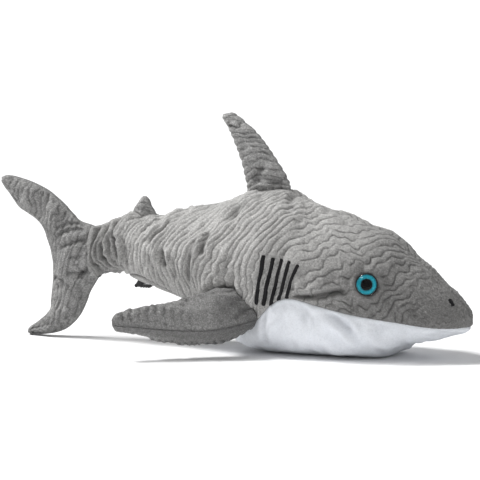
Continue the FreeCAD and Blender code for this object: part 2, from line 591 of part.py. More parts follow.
# bridge over the tab
slider = slider.fuse(zip_prism([(s0 + 2.6, -0.9), (s1 - 0.4, -0.9), (s1 - 0.4, -1.5), (s0 + 2.6, -3.0)], -2.0, 2.0))
slider = slider.cut(Part.makeCylinder(1.05, 12.0, piv + V(0, -6.0, 0), V(0, 1, 0))).removeSplitter()
save("zip_slider", slider)
# pull tab: a pin through both ears, and a ribbed tab folded forward under the slider
tab = Part.makeCylinder(1.0, 8.6, piv + V(0, -4.3, 0), V(0, 1, 0))
tab = tab.fuse(Part.makeCylinder(1.5, 5.2, piv + V(0, -2.6, 0), V(0, 1, 0)))
tab = tab.fuse(Part.makeBox(TAB_L - 1.0, 5.2, 2.6, piv + V(0, -2.6, -1.5)))
tab = tab.fuse(Part.makeCylinder(1.3, 5.2, piv + V(TAB_L - 1.0, -2.6, -0.2), V(0, 1, 0)))
for r in (4.6, 7.4, 10.2, 13.0):
    tab = tab.fuse(Part.makeCylinder(0.8, 5.2, piv + V(r, -2.6, -1.5), V(0, 1, 0)))
tab = tab.removeSplitter()
save("zip_pull_tab", tab)

# ---------------------------------------------------------------- tail
TAIL_STATIONS = [0.0, 0.14, 0.28, 0.42, 0.56, 0.7, 0.85, 1.0]


def tail_skin():
    n = 20
    outer, inner = [], []
    for u in TAIL_STATIONS:
        ro, ri = [], []
        for j in range(n + 1):
            f = j / n
            x_front = SLEEVE_X - 1.0
            y_front = trunk(-146.0, f)[1]
            x_front -= 0.40 * y_front
            x = x_front + (TAIL_SEAM_X - 0.0 - x_front) * u
            ro.append(side(trunk(x, f), -1, GAP))
            ri.append(side(trunk(x, f, SKIN_T), -1, GAP))
        outer.append(ro)
        inner.append(ri)
    return patch_solid(outer, inner)


both_sides("tail_stock_panel", tail_skin())
prof, _run = half_section(SWAY_X, SKIN_T + 2.0)
ring_pts = [V(SWAY_X + p[0], 0, p[1]) for p in prof[6:-6:7]]
ring_pts = [V(SWAY_X, 0, ring_pts[0].z)] + ring_pts + [V(SWAY_X, 0, ring_pts[-1].z)]
knuckle = Part.Face(Part.makePolygon(ring_pts + [ring_pts[0]])).revolve(V(SWAY_X, 0, 0), V(0, 0, 1), 360)
if knuckle.ShapeType != "Solid":
    knuckle = knuckle.Solids[0]
if knuckle.Volume < 0:
    knuckle.reverse()
stn = [-148.0, -151.0, -154.0, -157.0, -160.0, -162.4]
stock = patch_solid(grid_on_trunk(stn, lambda x: 0.0, lambda x: 1.0, 20, SKIN_T + WAD, -1, 0.5),
                    grid_on_trunk(stn, lambda x: 0.0, lambda x: 1.0, 20, SKIN_T + WAD, 1, 0.5))
save("tail_stock_stuffing", max(knuckle.fuse(stock).Solids, key=lambda s: s.Volume))

rs = resample([(a[0], a[1], b[0], b[1]) for a, b in TAIL_FIN], 2)
tt = [t[0] for t in resample([(t,) for t in TAIL_FIN_T], 2)]
lead = [(r[0], 0.0, r[1]) for r in rs]
trail = [(r[2], 0.0, r[3]) for r in rs]
root = []
for i, r in enumerate(rs):
    z = r[1]
    zt, zb = ridge_z(TAIL_SEAM_X) - 1.0, keel_z(TAIL_SEAM_X) + 1.0
    u = (z - (zt + zb) / 2) / ((zt - zb) / 2)
    root.append((half_w(TAIL_SEAM_X) - SKIN_T) * math.sqrt(1 - u * u) if abs(u) < 1 and 2 * TAIL_ROOT[0] - 4 <= i <= 2 * TAIL_ROOT[1] + 4 else 0.0)
save("tail_fin_panel_right", fin_panel(lead, trail, tt, (0.0, 1.0, 0.0), -1, 14, root))
save("tail_fin_panel_left", fin_panel(lead, trail, tt, (0.0, 1.0, 0.0), 1, 14, root))
core_lead = [lerp(a, b, 1.5 / max(abs(b[0] - a[0]), 6.0)) for a, b in zip(lead, trail)]
save("tail_fin_stuffing", fin_core(core_lead, trail, tt, (0.0, 1.0, 0.0), 12, root, t0=0.04))

# ---------------------------------------------------------------- fins
back_fin("dorsal_fin", DORSAL, DORSAL_T)
back_fin("rear_dorsal_fin", REAR_DORSAL, REAR_DORSAL_T)

(xa, za), (xb, zb) = PECT_ROOT
pa, pb = trunk(xa, f_at_z(xa, za)), trunk(xb, f_at_z(xb, zb))
st = [(xa, -(pa[1] + PECT_CLEAR), za, xb, -(pb[1] + PECT_CLEAR), zb)]
print("pectoral root, leading and trailing end (x, y, z):", [round(v, 2) for v in st[0]])
for a, b in PECTORAL:
    st.append(a + b)
rs = resample(st, 2)
tt = [t[0] for t in resample([(t,) for t in [0.0] + PECT_T], 2)]
lead = [r[:3] for r in rs]
trail = [r[3:] for r in rs]
nk = math.sqrt(sum(c * c for c in PECT_N))
pn = tuple(c / nk for c in PECT_N)
tt = [max(t, 0.0) for t in tt]
tu = [max(t[0], 0.0) for t in resample([(t,) for t in [0.0] + PECT_LOW_T], 2)]
up, low = fin_panel(lead, trail, tt, pn, 1, 14), fin_panel(lead, trail, tu, pn, -1, 14, prof=full)
pc = fin_core(lead, trail, tt, pn, 12, None, 0.05, tu)
save("pectoral_upper_right", up)
save("pectoral_lower_right", low)
save("pectoral_stuffing_right", pc)
save("pectoral_upper_left", mirrored(up))
save("pectoral_lower_left", mirrored(low))
save("pectoral_stuffing_left", mirrored(pc))
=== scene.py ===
# Plush shark: the looks. Every fabric face is a fine grid on the same tables of widths and heights as the CAD solids,
# slackened by a cloth simulation, creased, and embossed with grooves that are worked out from noise.
import bpy, math
import numpy as np
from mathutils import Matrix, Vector


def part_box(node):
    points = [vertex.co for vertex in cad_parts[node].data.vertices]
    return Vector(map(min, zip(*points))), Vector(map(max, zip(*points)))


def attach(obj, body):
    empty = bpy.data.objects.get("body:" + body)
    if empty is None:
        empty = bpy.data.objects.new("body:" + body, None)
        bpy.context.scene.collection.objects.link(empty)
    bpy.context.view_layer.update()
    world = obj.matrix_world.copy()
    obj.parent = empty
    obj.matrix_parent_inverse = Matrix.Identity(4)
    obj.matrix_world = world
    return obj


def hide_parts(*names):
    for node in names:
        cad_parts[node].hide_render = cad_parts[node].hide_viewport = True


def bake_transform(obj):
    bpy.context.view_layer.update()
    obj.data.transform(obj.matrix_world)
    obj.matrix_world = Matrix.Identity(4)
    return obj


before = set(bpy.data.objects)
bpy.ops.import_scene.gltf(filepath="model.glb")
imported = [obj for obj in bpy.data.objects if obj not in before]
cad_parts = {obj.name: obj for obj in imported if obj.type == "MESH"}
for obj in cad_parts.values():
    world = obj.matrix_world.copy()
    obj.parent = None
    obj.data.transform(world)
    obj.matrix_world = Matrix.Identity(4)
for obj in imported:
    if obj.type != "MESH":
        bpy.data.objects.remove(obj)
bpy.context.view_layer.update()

scene = bpy.context.scene

# ------------------------------------------------------------------ shape tables, in mm, as in the CAD
X_SHIFT = 9.8
NOSE_X = 247.3
TAIL_SEAM_X = -163.0
SKIN_T = 2.2
# station tables: (x, value)
RIDGE_Z = [(-163, 114.6), (-157, 115.6), (-149, 118.7), (-140, 122.2), (-131, 125.8), (-122, 128.9), (-116, 130.8), (-104, 130.4), (-92, 129.6), (-84, 129.1), (-78, 129.8), (-70, 133.0), (-61, 136.1), (-52, 138.5), (-43, 141.3), (-35, 142.2), (-26, 143.8), (-17, 146.2), (-9, 149.0), (0, 153.0), (8, 156.8), (20, 160.0), (32, 161.6), (45, 161.8), (55, 160.8), (64, 155.5), (72, 152.3), (80, 149.1), (88, 146.2), (96, 143.7), (105, 141.3), (114, 138.2), (123, 135.2), (131, 132.3), (140, 128.8), (149, 126.1), (158, 123.3), (166, 119.2), (175, 112.2), (184, 103.3), (192.8, 96.0), (200.2, 90.8), (208.5, 82.9), (216.8, 75.2), (225.2, 69.0), (232.6, 62.6), (239.0, 56.4), (243.7, 50.6), (246.4, 46.0), (247.3, 43.0)]
KEEL_Z = [(-163, 62), (-157, 64.5), (-149, 67.6), (-140, 69), (-131, 70), (-125, 70.2), (-119, 66.6), (-113, 63), (-104, 60.4), (-61, 47.8), (-26, 37.4), (-14, 30.5), (-4, 22), (6, 13.5), (16, 6.4), (26, 1.8), (36, -0.6), (50, -1.2), (100, -1.3), (150, -1.2), (160, -0.4), (168, 2.4), (176, 8), (184, 12.6), (193.7, 15.2), (204.8, 17.4), (215.9, 20.2), (225.2, 23), (234.4, 25), (241.8, 27.4), (245.5, 29.6), (247.3, 32)]
HALF_W = [(-163, 14.5), (-157, 16), (-149, 18), (-140, 20), (-131, 22.6), (-120, 26.4), (-105, 32), (-90, 37), (-75, 41.6), (-60, 46), (-45, 50.2), (-30, 54), (-15, 57.6), (0, 60.8), (15, 63.4), (30, 65.4), (45, 66.8), (60, 67.6), (80, 68), (100, 67.4), (120, 65.4), (140, 62), (160, 57), (180, 51), (199.2, 44.2), (213.1, 38), (225.2, 31.6), (234.4, 25.2), (240.9, 18.6), (245.0, 11.6), (246.8, 5.6), (247.3, 0.0)]
WIDE_Z = [(-163, 88), (-149, 92), (-130, 97), (-110, 95), (-80, 90), (-50, 86), (-20, 80), (20, 72), (60, 66), (100, 62), (140, 57), (180, 53), (208.5, 48), (231.6, 43), (247.3, 38.5)]
N_UP = [(-163, 2.0), (-120, 2.05), (-60, 2.05), (0, 1.95), (40, 1.9), (100, 2.0), (160, 2.1), (217.8, 2.2), (247.3, 2.2)]
N_LOW = [(-163, 2.0), (-120, 2.1), (-60, 2.2), (0, 2.4), (40, 2.6), (100, 2.7), (160, 2.6), (199.2, 2.3), (227.0, 2.2), (247.3, 2.2)]
# height of the grey and white seam, ahead of x = 30
SEAM_Z = [(30, 26), (38, 29.5), (46, 36), (54, 44.5), (61, 51.5), (68, 56.2), (76, 59.4), (84, 60), (95, 58.2), (108, 55), (120, 52), (146, 46.2), (170, 42), (194.6, 37.6), (210.3, 34.6), (223.3, 32.6), (234.4, 32.2), (241.8, 32.4), (247.3, 33)]
# distance of the underside seam from the keel, behind x = 30
SEAM_D = [(-163, 0.0), (-123, 0.0), (-118, 12.0), (-110, 22.0), (-104, 26.0), (-90, 29.5), (-75, 30.0), (-60, 29.5), (-40, 29.0), (-22, 31.0), (-10, 36.0), (5, 45.5), (18, 55.0), (30, 64.3)]


def pchip(table):
    """Monotone cubic through the table, as a function of an array."""
    p = np.array(table, float)
    xs, ys = p[:, 0], p[:, 1]
    h, d = np.diff(xs), np.diff(ys) / np.diff(xs)
    m = np.zeros(len(xs))
    for i in range(1, len(xs) - 1):
        if d[i - 1] * d[i] > 0:
            w1, w2 = 2 * h[i] + h[i - 1], h[i] + 2 * h[i - 1]
            m[i] = (w1 + w2) / (w1 / d[i - 1] + w2 / d[i])
    m[0], m[-1] = d[0], d[-1]

    def f(x):
        x = np.clip(np.asarray(x, float), xs[0], xs[-1])
        k = np.clip(np.searchsorted(xs, x, side="right") - 1, 0, len(xs) - 2)
        t = (x - xs[k]) / h[k]
        return (ys[k] * (2 * t ** 3 - 3 * t ** 2 + 1) + h[k] * m[k] * (t ** 3 - 2 * t ** 2 + t)
                + ys[k + 1] * (3 * t ** 2 - 2 * t ** 3) + h[k] * m[k + 1] * (t ** 3 - t ** 2))
    return f


ridge_z, keel_z, half_w, wide_z = pchip(RIDGE_Z), pchip(KEEL_Z), pchip(HALF_W), pchip(WIDE_Z)
n_up, n_low, seam_z, seam_d = pchip(N_UP), pchip(N_LOW), pchip(SEAM_Z), pchip(SEAM_D)


def sections(xs, inset=0.0):
    """Half sections at each x, from ridge to keel: distance from the middle plane, height and running length."""
    xs = np.asarray(xs, float)[:, None]
    w, zt, zb, zw = half_w(xs), ridge_z(xs), keel_z(xs), wide_z(xs)
    w = w * w / np.maximum(w + inset, 1e-9)
    zt, zb = zt - inset, zb + inset
    zw = np.minimum(np.maximum(zw, zb + 2), zt - 2)
    a, b = 2.0 / n_up(xs), 2.0 / n_low(xs)
    th = np.linspace(0, np.pi / 2, 91)[None, :]
    si, co = np.sin(th), np.clip(np.cos(th), 0, 1)
    y = np.concatenate([w * si ** a, (w * co ** b)[:, 1:]], 1)
    z = np.concatenate([zw + (zt - zw) * co ** a, (zw - (zw - zb) * si ** b)[:, 1:]], 1)
    run = np.concatenate([np.zeros_like(w), np.cumsum(np.hypot(np.diff(y, axis=1), np.diff(z, axis=1)), 1)], 1)
    return y, z, run


def seam_share(xs):
    """Share f of the half section at which the grey fabric ends."""
    y, z, run = sections(xs)
    out = np.ones(len(xs))
    for i, x in enumerate(xs):
        if x < -123:
            continue
        if x < 30:
            out[i] = 1.0 - float(seam_d(x)) / run[i, -1]
        else:
            k = np.arange(70, z.shape[1])
            out[i] = np.interp(-float(seam_z(x)), -z[i, k], run[i, k]) / run[i, -1]
    return out


def trunk_points(xs, f, inset=0.0):
    """Grid of points on the right side: xs has one entry per row, f is rows by columns. Also the running length from the ridge."""
    y, z, run = sections(xs, inset)
    k = (NOSE_X - inset) / NOSE_X
    X = np.where(xs > 0, xs * k, xs)
    P = np.zeros(f.shape + (3,))
    S = np.zeros(f.shape)
    for i in range(len(xs)):
        s = f[i] * run[i, -1]
        P[i, :, 0] = X[i]
        P[i, :, 1] = -np.interp(s, run[i], y[i])
        P[i, :, 2] = np.interp(s, run[i], z[i])
        S[i] = s
    return P, S


def normals(P, flip=1.0):
    du = np.gradient(P, axis=0)
    dv = np.gradient(P, axis=1)
    n = np.cross(du, dv)
    n /= np.maximum(np.linalg.norm(n, axis=2, keepdims=True), 1e-9)
    return n * flip


def metric(P):
    """Running lengths in mm along rows and columns of a grid."""
    a = np.concatenate([np.zeros((1, P.shape[1])), np.cumsum(np.linalg.norm(np.diff(P, axis=0), axis=2), 0)], 0)
    b = np.concatenate([np.zeros((P.shape[0], 1)), np.cumsum(np.linalg.norm(np.diff(P, axis=1), axis=2), 1)], 1)
    return a, b


# ------------------------------------------------------------------ noise and grooves
def waves(a, b, scale_a, scale_b, seed, n=48):
    """Smooth random field of unit spread over coordinates a, b, with features of about those sizes in mm."""
    r = np.random.RandomState(seed)
    out = np.zeros(np.shape(a))
    for _ in range(n):
        ang, rad = r.uniform(0, 2 * np.pi), 2 * np.pi * abs(r.normal(1.0, 0.30))
        out += np.cos(rad * np.cos(ang) * a / scale_a + rad * np.sin(ang) * b / scale_b + r.uniform(0, 2 * np.pi))
    return out * math.sqrt(2.0 / n)


def groove_field(u, P):
    """Distance in mm from the level lines of u on the grid P."""
    a = np.gradient(u, axis=0) / np.maximum(np.linalg.norm(np.gradient(P, axis=0), axis=2), 1e-3)
    b = np.gradient(u, axis=1) / np.maximum(np.linalg.norm(np.gradient(P, axis=1), axis=2), 1e-3)
    g = np.sqrt(a * a + b * b)
    return np.abs(u - np.round(u)) / np.maximum(g, 0.035)


def smoothstep(x, lo, hi):
    t = np.clip((np.asarray(x, float) - lo) / (hi - lo), 0, 1)
    return t * t * (3 - 2 * t)


def near_path(P, pts, ends=True):
    """Distance from each grid point to a polyline in 3D and the share along it."""
    pts = np.array(pts, float)
    best, where = np.full(P.shape[:2], 1e9), np.zeros(P.shape[:2])
    seg = np.linalg.norm(np.diff(pts, axis=0), axis=1)
    at = np.concatenate([[0], np.cumsum(seg)])
    for i in range(len(pts) - 1):
        d = pts[i + 1] - pts[i]
        t = np.clip(((P - pts[i]) @ d) / (d @ d), 0, 1)
        q = np.linalg.norm(P - (pts[i] + t[..., None] * d), axis=2)
        m = q < best
        best[m], where[m] = q[m], ((at[i] + t * seg[i]) / at[-1])[m]
    return best, where


# ------------------------------------------------------------------ mesh helpers
def to_row(P):
    Q = np.array(P, float).reshape(-1, 3) + (X_SHIFT, 0, 0)
    return Q / 1000.0


def grid_shell(name, P, N, thick, attrs=None, mirror=False, closed_rows=False):
    """Closed fabric piece: the outer grid P, and an inner grid at a quarter of its density, joined round the rim. Grid sizes are 4k+1."""
    r, c = P.shape[:2]
    inner = (P - N * thick)[::4, ::4]
    ri, ci = inner.shape[:2]
    if mirror:
        P, inner = P * (1, -1, 1), inner * (1, -1, 1)
    co = np.concatenate([to_row(P), to_row(inner)], 0)
    base = r * c
    i, j = np.meshgrid(np.arange(r - 1), np.arange(c - 1), indexing="ij")
    a = (i * c + j).ravel()
    outer = np.stack([a, a + c, a + c + 1, a + 1], 1)
    i, j = np.meshgrid(np.arange(ri - 1), np.arange(ci - 1), indexing="ij")
    a = (base + i * ci + j).ravel()
    inn = np.stack([a, a + 1, a + ci + 1, a + ci], 1)
    rims = []
    for k in range(ri - 1):
        rims.append([base + k * ci, base + (k + 1) * ci] + [(4 * k + m) * c for m in (4, 3, 2, 1, 0)])
        rims.append([base + (k + 1) * ci + ci - 1, base + k * ci + ci - 1] + [(4 * k + m) * c + c - 1 for m in (0, 1, 2, 3, 4)])
    for k in range(ci - 1):
        rims.append([base + k + 1, base + k] + [4 * k + m for m in (0, 1, 2, 3, 4)])
        rims.append([base + (ri - 1) * ci + k, base + (ri - 1) * ci + k + 1] + [(r - 1) * c + 4 * k + m for m in (4, 3, 2, 1, 0)])
    faces = outer.tolist() + inn.tolist() + rims
    if mirror:
        faces = [f[::-1] for f in faces]
    me = bpy.data.meshes.new(name)
    me.from_pydata(co.tolist(), [], faces)
    me.polygons.foreach_set("use_smooth", [True] * len(me.polygons))
    for key, val in (attrs or {}).items():
        at = me.attributes.new(key, "FLOAT", "POINT")
        full = np.concatenate([np.asarray(val, float).ravel(), np.asarray(val, float)[::4, ::4].ravel()]).astype(np.float32)
        at.data.foreach_set("value", full)
    me.update()
    ob = bpy.data.objects.new(name, me)
    scene.collection.objects.link(ob)
    # outward faces
    v = me.vertices
    vol = 0.0
    q = co[outer]
    ctr = co[:base].mean(0)
    n = np.cross(q[:, 2] - q[:, 0], q[:, 3] - q[:, 1])
    want = (N if not mirror else N * (1, -1, 1)).reshape(-1, 3)[outer[:, 0]]
    if (n * want).sum() * (-1 if mirror else 1) < 0:
        me.flip_normals()
    return ob


def cubic_rows(n_fine, n_coarse):
    """Catmull-Rom weights that take n_coarse samples to n_fine."""
    W = np.zeros((n_fine, n_coarse))
    for i, x in enumerate(np.linspace(0, n_coarse - 1, n_fine)):
        k = min(int(x), n_coarse - 2)
        t = x - k
        w = (-0.5 * t + t * t - 0.5 * t ** 3, 1 - 2.5 * t * t + 1.5 * t ** 3, 0.5 * t + 2 * t * t - 1.5 * t ** 3, -0.5 * t * t + 0.5 * t ** 3)
        for m, ww in zip((k - 1, k, k + 1, k + 2), w):
            W[i, min(max(m, 0), n_coarse - 1)] += ww
    return W


def upsample(D, shape):
    return cubic_rows(shape[0], D.shape[0]) @ D @ cubic_rows(shape[1], D.shape[1]).T


def relax_cloth(name, co, faces, pins, pressure, slack, frames, bending=0.4):
    """Cloth simulation of a coarse closed skin, with sewn points pinned. Returns the moved points, in the row frame in metres."""
    me = bpy.data.meshes.new(name)
    me.from_pydata(co.tolist(), [], faces)
    me.update()
    ob = bpy.data.objects.new(name, me)
    scene.collection.objects.link(ob)
    vg = ob.vertex_groups.new(name="sewn")
    vg.add([int(p) for p in pins], 1.0, "REPLACE")
    mod = ob.modifiers.new("Cloth", "CLOTH")
    s = mod.settings
    s.quality = 7
    s.mass = 0.15
    s.tension_stiffness = s.compression_stiffness = 18
    s.shear_stiffness = 8
    s.bending_stiffness = bending
    s.tension_damping = s.compression_damping = s.shear_damping = 8
    s.bending_damping = 1.0
    s.air_damping = 2.0
    s.use_pressure = True
    s.uniform_pressure_force = pressure
    s.shrink_min = -slack
    s.vertex_group_mass = "sewn"
    s.effector_weights.gravity = 0
    mod.collision_settings.use_collision = False
    mod.collision_settings.use_self_collision = False
    mod.point_cache.frame_start, mod.point_cache.frame_end = 1, frames
    for k in range(1, frames + 1):
        scene.frame_set(k)
    ev = ob.evaluated_get(bpy.context.evaluated_depsgraph_get())
    m2 = ev.to_mesh()
    out = np.zeros(len(m2.vertices) * 3, np.float32)
    m2.vertices.foreach_get("co", out)
    ev.to_mesh_clear()
    bpy.data.objects.remove(ob)
    bpy.data.meshes.remove(me)
    scene.frame_set(1)
    return out.reshape(-1, 3).astype(float)


# ------------------------------------------------------------------ materials
def mat(name):
    m = bpy.data.materials.new(name)
    m.use_nodes = True
    nt = m.node_tree
    for n in list(nt.nodes):
        nt.nodes.remove(n)
    out = nt.nodes.new("ShaderNodeOutputMaterial")
    bsdf = nt.nodes.new("ShaderNodeBsdfPrincipled")
    nt.links.new(bsdf.outputs[0], out.inputs[0])
    return m, nt, bsdf


def node(nt, kind, **kw):
    n = nt.nodes.new(kind)
    for k, v in kw.items():
        setattr(n, k, v)
    return n


def mix(nt, fac, a, b, blend="MIX"):
    n = node(nt, "ShaderNodeMix", data_type="RGBA", blend_type=blend)
    for sock, val in ((n.inputs[0], fac), (n.inputs[6], a), (n.inputs[7], b)):
        if isinstance(val, bpy.types.NodeSocket):
            nt.links.new(val, sock)
        else:
            sock.default_value = val if not isinstance(val, tuple) else (*val, 1.0)[:4]
    return n.outputs[2]


def maths(nt, op, a, b=0.0, clamp=False):
    n = node(nt, "ShaderNodeMath", operation=op, use_clamp=clamp)
    for sock, val in ((n.inputs[0], a), (n.inputs[1], b)):
        if isinstance(val, bpy.types.NodeSocket):
            nt.links.new(val, sock)
        else:
            sock.default_value = val
    return n.outputs[0]


def ramp(nt, val, lo, hi, a=0.0, b=1.0):
    n = node(nt, "ShaderNodeMapRange", clamp=True)
    nt.links.new(val, n.inputs[0])
    for i, v in enumerate((lo, hi, a, b)):
        n.inputs[i + 1].default_value = v
    return n.outputs[0]


def noise(nt, vec, scale, detail=2.0, rough=0.5, dist=0.0):
    n = node(nt, "ShaderNodeTexNoise")
    nt.links.new(vec, n.inputs["Vector"])
    n.inputs["Scale"].default_value = scale
    n.inputs["Detail"].default_value = detail
    n.inputs["Roughness"].default_value = rough
    n.inputs["Distortion"].default_value = dist
    return n.outputs["Fac"]


def obj_coords(nt):
    return node(nt, "ShaderNodeTexCoord").outputs["Object"]


def bump(nt, height, strength, distance, prev=None):
    n = node(nt, "ShaderNodeBump")
    n.inputs["Strength"].default_value = strength
    n.inputs["Distance"].default_value = distance
    nt.links.new(height, n.inputs["Height"])
    if prev is not None:
        nt.links.new(prev, n.inputs["Normal"])
    return n.outputs["Normal"]


def plush(name, light, dark, groove_shade, sheen=0.5, grain=1.0):
    """Short-pile plush: fibre speckle, patches where the pile lies another way, painted shade in the grooves, creases
    and folds, a painted shade that darkens whole regions, and the soft rim light of pile.
    """
    m, nt, b = mat(name)
    vec = obj_coords(nt)
    fib = noise(nt, vec, 1500.0, 3.0, 0.65)
    tuft = noise(nt, vec, 420.0, 3.0, 0.6, 0.4)
    patch = noise(nt, vec, 26.0, 3.0, 0.55, 0.8)
    cloud = noise(nt, vec, 9.0, 2.0, 0.5)
    col = mix(nt, ramp(nt, patch, 0.30, 0.70), dark, light)
    col = mix(nt, ramp(nt, cloud, 0.35, 0.65, 0.0, 0.30), col, mix(nt, 0.5, dark, light))
    col = mix(nt, ramp(nt, fib, 0.30, 0.72, 0.0, 0.34 * grain), col, tuple(c * 0.45 for c in dark))
    col = mix(nt, ramp(nt, tuft, 0.52, 0.80, 0.0, 0.30 * grain), col, tuple(min(1.0, c * 1.35) for c in light))
    clump = noise(nt, vec, 330.0, 2.0, 0.6, 0.6)
    col = mix(nt, ramp(nt, clump, 0.40, 0.66, 0.0, 0.26 * grain), col, tuple(c * 0.5 for c in dark))
    pile = noise(nt, vec, 760.0, 2.0, 0.7)
    col = mix(nt, ramp(nt, pile, 0.28, 0.50, 0.30 * grain, 0.0), col, tuple(c * 0.30 for c in dark))
    col = mix(nt, ramp(nt, pile, 0.52, 0.74, 0.0, 0.34 * grain), col, tuple(min(1.0, c * 1.5) for c in light))
    # painted shade in the embossed grooves
    att = node(nt, "ShaderNodeAttribute", attribute_name="groove_shade").outputs["Fac"]
    rag = maths(nt, "MULTIPLY", att, ramp(nt, tuft, 0.2, 0.7, 0.75, 1.15))
    col = mix(nt, maths(nt, "MULTIPLY", rag, groove_shade, True), col, tuple(c * 0.22 for c in dark))
    # painted shade in creases, folds, dents and tucked seams, from the attribute read next
    fold_shade = node(nt, "ShaderNodeAttribute", attribute_name="fold_shade").outputs["Fac"]
    col = mix(nt, maths(nt, "MULTIPLY", fold_shade, 0.95, True), col, tuple(c * 0.24 for c in dark))
    # painted shade: the attribute read next darkens the colour towards black where a part faces away from the light or
    # lies in the body's shade
    painted_lightness = node(nt, "ShaderNodeAttribute", attribute_name="painted_lightness").outputs["Fac"]
    col = mix(nt, ramp(nt, painted_lightness, 0.0, 1.0, 1.0, 0.0), col, (0.0, 0.0, 0.0))
    nt.links.new(col, b.inputs["Base Color"])
    b.inputs["Roughness"].default_value = 0.96
    b.inputs["Specular IOR Level"].default_value = 0.12
    b.inputs["Sheen Weight"].default_value = sheen
    b.inputs["Sheen Roughness"].default_value = 0.45
    b.inputs["Sheen Tint"].default_value = (1, 1, 1, 1)
    n1 = bump(nt, tuft, 0.55 * grain, 0.0012)
    n1 = bump(nt, pile, 0.60 * grain, 0.0009, n1)
    n2 = bump(nt, fib, 0.75 * grain, 0.0006, n1)
    nt.links.new(n2, b.inputs["Normal"])
    return m


GREY = plush("grey_embossed_plush", (0.632, 0.625, 0.610), (0.495, 0.489, 0.479), 0.58, 0.14, 1.4)
GREY_FIN = plush("grey_embossed_plush_fins", (0.668, 0.662, 0.650), (0.492, 0.488, 0.482), 0.66, 0.12, 1.7)
WHITE = plush("white_smooth_plush", (0.86, 0.885, 0.925), (0.78, 0.81, 0.86), 0.0, 0.08, 0.4)


def thread_material():
    m, nt, b = mat("black_satin_thread")
    vec = obj_coords(nt)
    n = noise(nt, vec, 2600.0, 2.0, 0.6)
    col = mix(nt, ramp(nt, n, 0.3, 0.75), (0.004, 0.004, 0.005), (0.022, 0.022, 0.024))
    stitch_gap_shade = node(nt, "ShaderNodeAttribute", attribute_name="stitch_gap_shade").outputs["Fac"]
    # painted shade in the gaps between the stitches
    col = mix(nt, maths(nt, "MULTIPLY", stitch_gap_shade, 0.6), col, (0.0015, 0.0015, 0.0015))
    nt.links.new(col, b.inputs["Base Color"])
    b.inputs["Roughness"].default_value = 0.42
    b.inputs["Specular IOR Level"].default_value = 0.15
    b.inputs["Anisotropic"].default_value = 0.5
    nt.links.new(bump(nt, n, 0.4, 0.0002), b.inputs["Normal"])
    return m


def plastic(name, colour, rough, grain=0.0, coat=0.0, speck=None, metal=0.0):
    m, nt, b = mat(name)
    vec = obj_coords(nt)
    n = noise(nt, vec, 900.0, 4.0, 0.6)
    wear = noise(nt, vec, 160.0, 3.0, 0.55)
    col = mix(nt, ramp(nt, wear, 0.35, 0.7, 0.0, 0.5), colour, tuple(min(1, c * 1.7 + 0.012) for c in colour))
    if speck:
        v = node(nt, "ShaderNodeTexVoronoi", feature="F1")
        nt.links.new(vec, v.inputs["Vector"])
        v.inputs["Scale"].default_value = 1500.0
        sep = node(nt, "ShaderNodeSeparateColor")
        nt.links.new(v.outputs["Color"], sep.inputs[0])
        col = mix(nt, ramp(nt, sep.outputs[0], 0.72, 0.95, 0.0, 0.8), col, speck)
    nt.links.new(col, b.inputs["Base Color"])
    nt.links.new(ramp(nt, n, 0.3, 0.8, rough * 0.8, min(1.0, rough * 1.3)), b.inputs["Roughness"])
    b.inputs["Metallic"].default_value = metal
    b.inputs["Coat Weight"].default_value = coat
    b.inputs["Coat Roughness"].default_value = 0.06
    if grain:
        nt.links.new(bump(nt, n, grain, 0.0002), b.inputs["Normal"])
    return m


THREAD = thread_material()
EYE_BLACK = plastic("eye_black_plastic", (0.004, 0.004, 0.005), 0.18, 0.02, 0.0)
PUPIL_BLACK = plastic("pupil_black_plastic", (0.001, 0.001, 0.0015), 0.5, 0.02, 0.0)
PUPIL_BLACK.node_tree.nodes["Principled BSDF"].inputs["Specular IOR Level"].default_value = 0.02
WASHER = plastic("washer_plastic", (0.62, 0.61, 0.58), 0.45, 0.10)
ZIP_MOULD = plastic("zip_moulded_black", (0.003, 0.003, 0.0035), 0.5, 0.15)
ZIP_ENAMEL = plastic("zip_black_enamel", (0.003, 0.003, 0.0035), 0.38, 0.08, 0.0)


def tape_material():
    m, nt, b = mat("zip_woven_tape")
    vec = obj_coords(nt)
    w = node(nt, "ShaderNodeTexWave", wave_type="BANDS", bands_direction="X")
    nt.links.new(vec, w.inputs["Vector"])
    w.inputs["Scale"].default_value = 700.0
    w.inputs["Distortion"].default_value = 0.6
    w2 = node(nt, "ShaderNodeTexWave", wave_type="BANDS", bands_direction="Y")
    nt.links.new(vec, w2.inputs["Vector"])
    w2.inputs["Scale"].default_value = 620.0
    weave = maths(nt, "MULTIPLY", w.outputs["Fac"], w2.outputs["Fac"])
    col = mix(nt, weave, (0.006, 0.006, 0.006), (0.03, 0.03, 0.032))
    nt.links.new(col, b.inputs["Base Color"])
    b.inputs["Roughness"].default_value = 0.85
    nt.links.new(bump(nt, weave, 0.5, 0.0002), b.inputs["Normal"])
    return m


TAPE = tape_material()


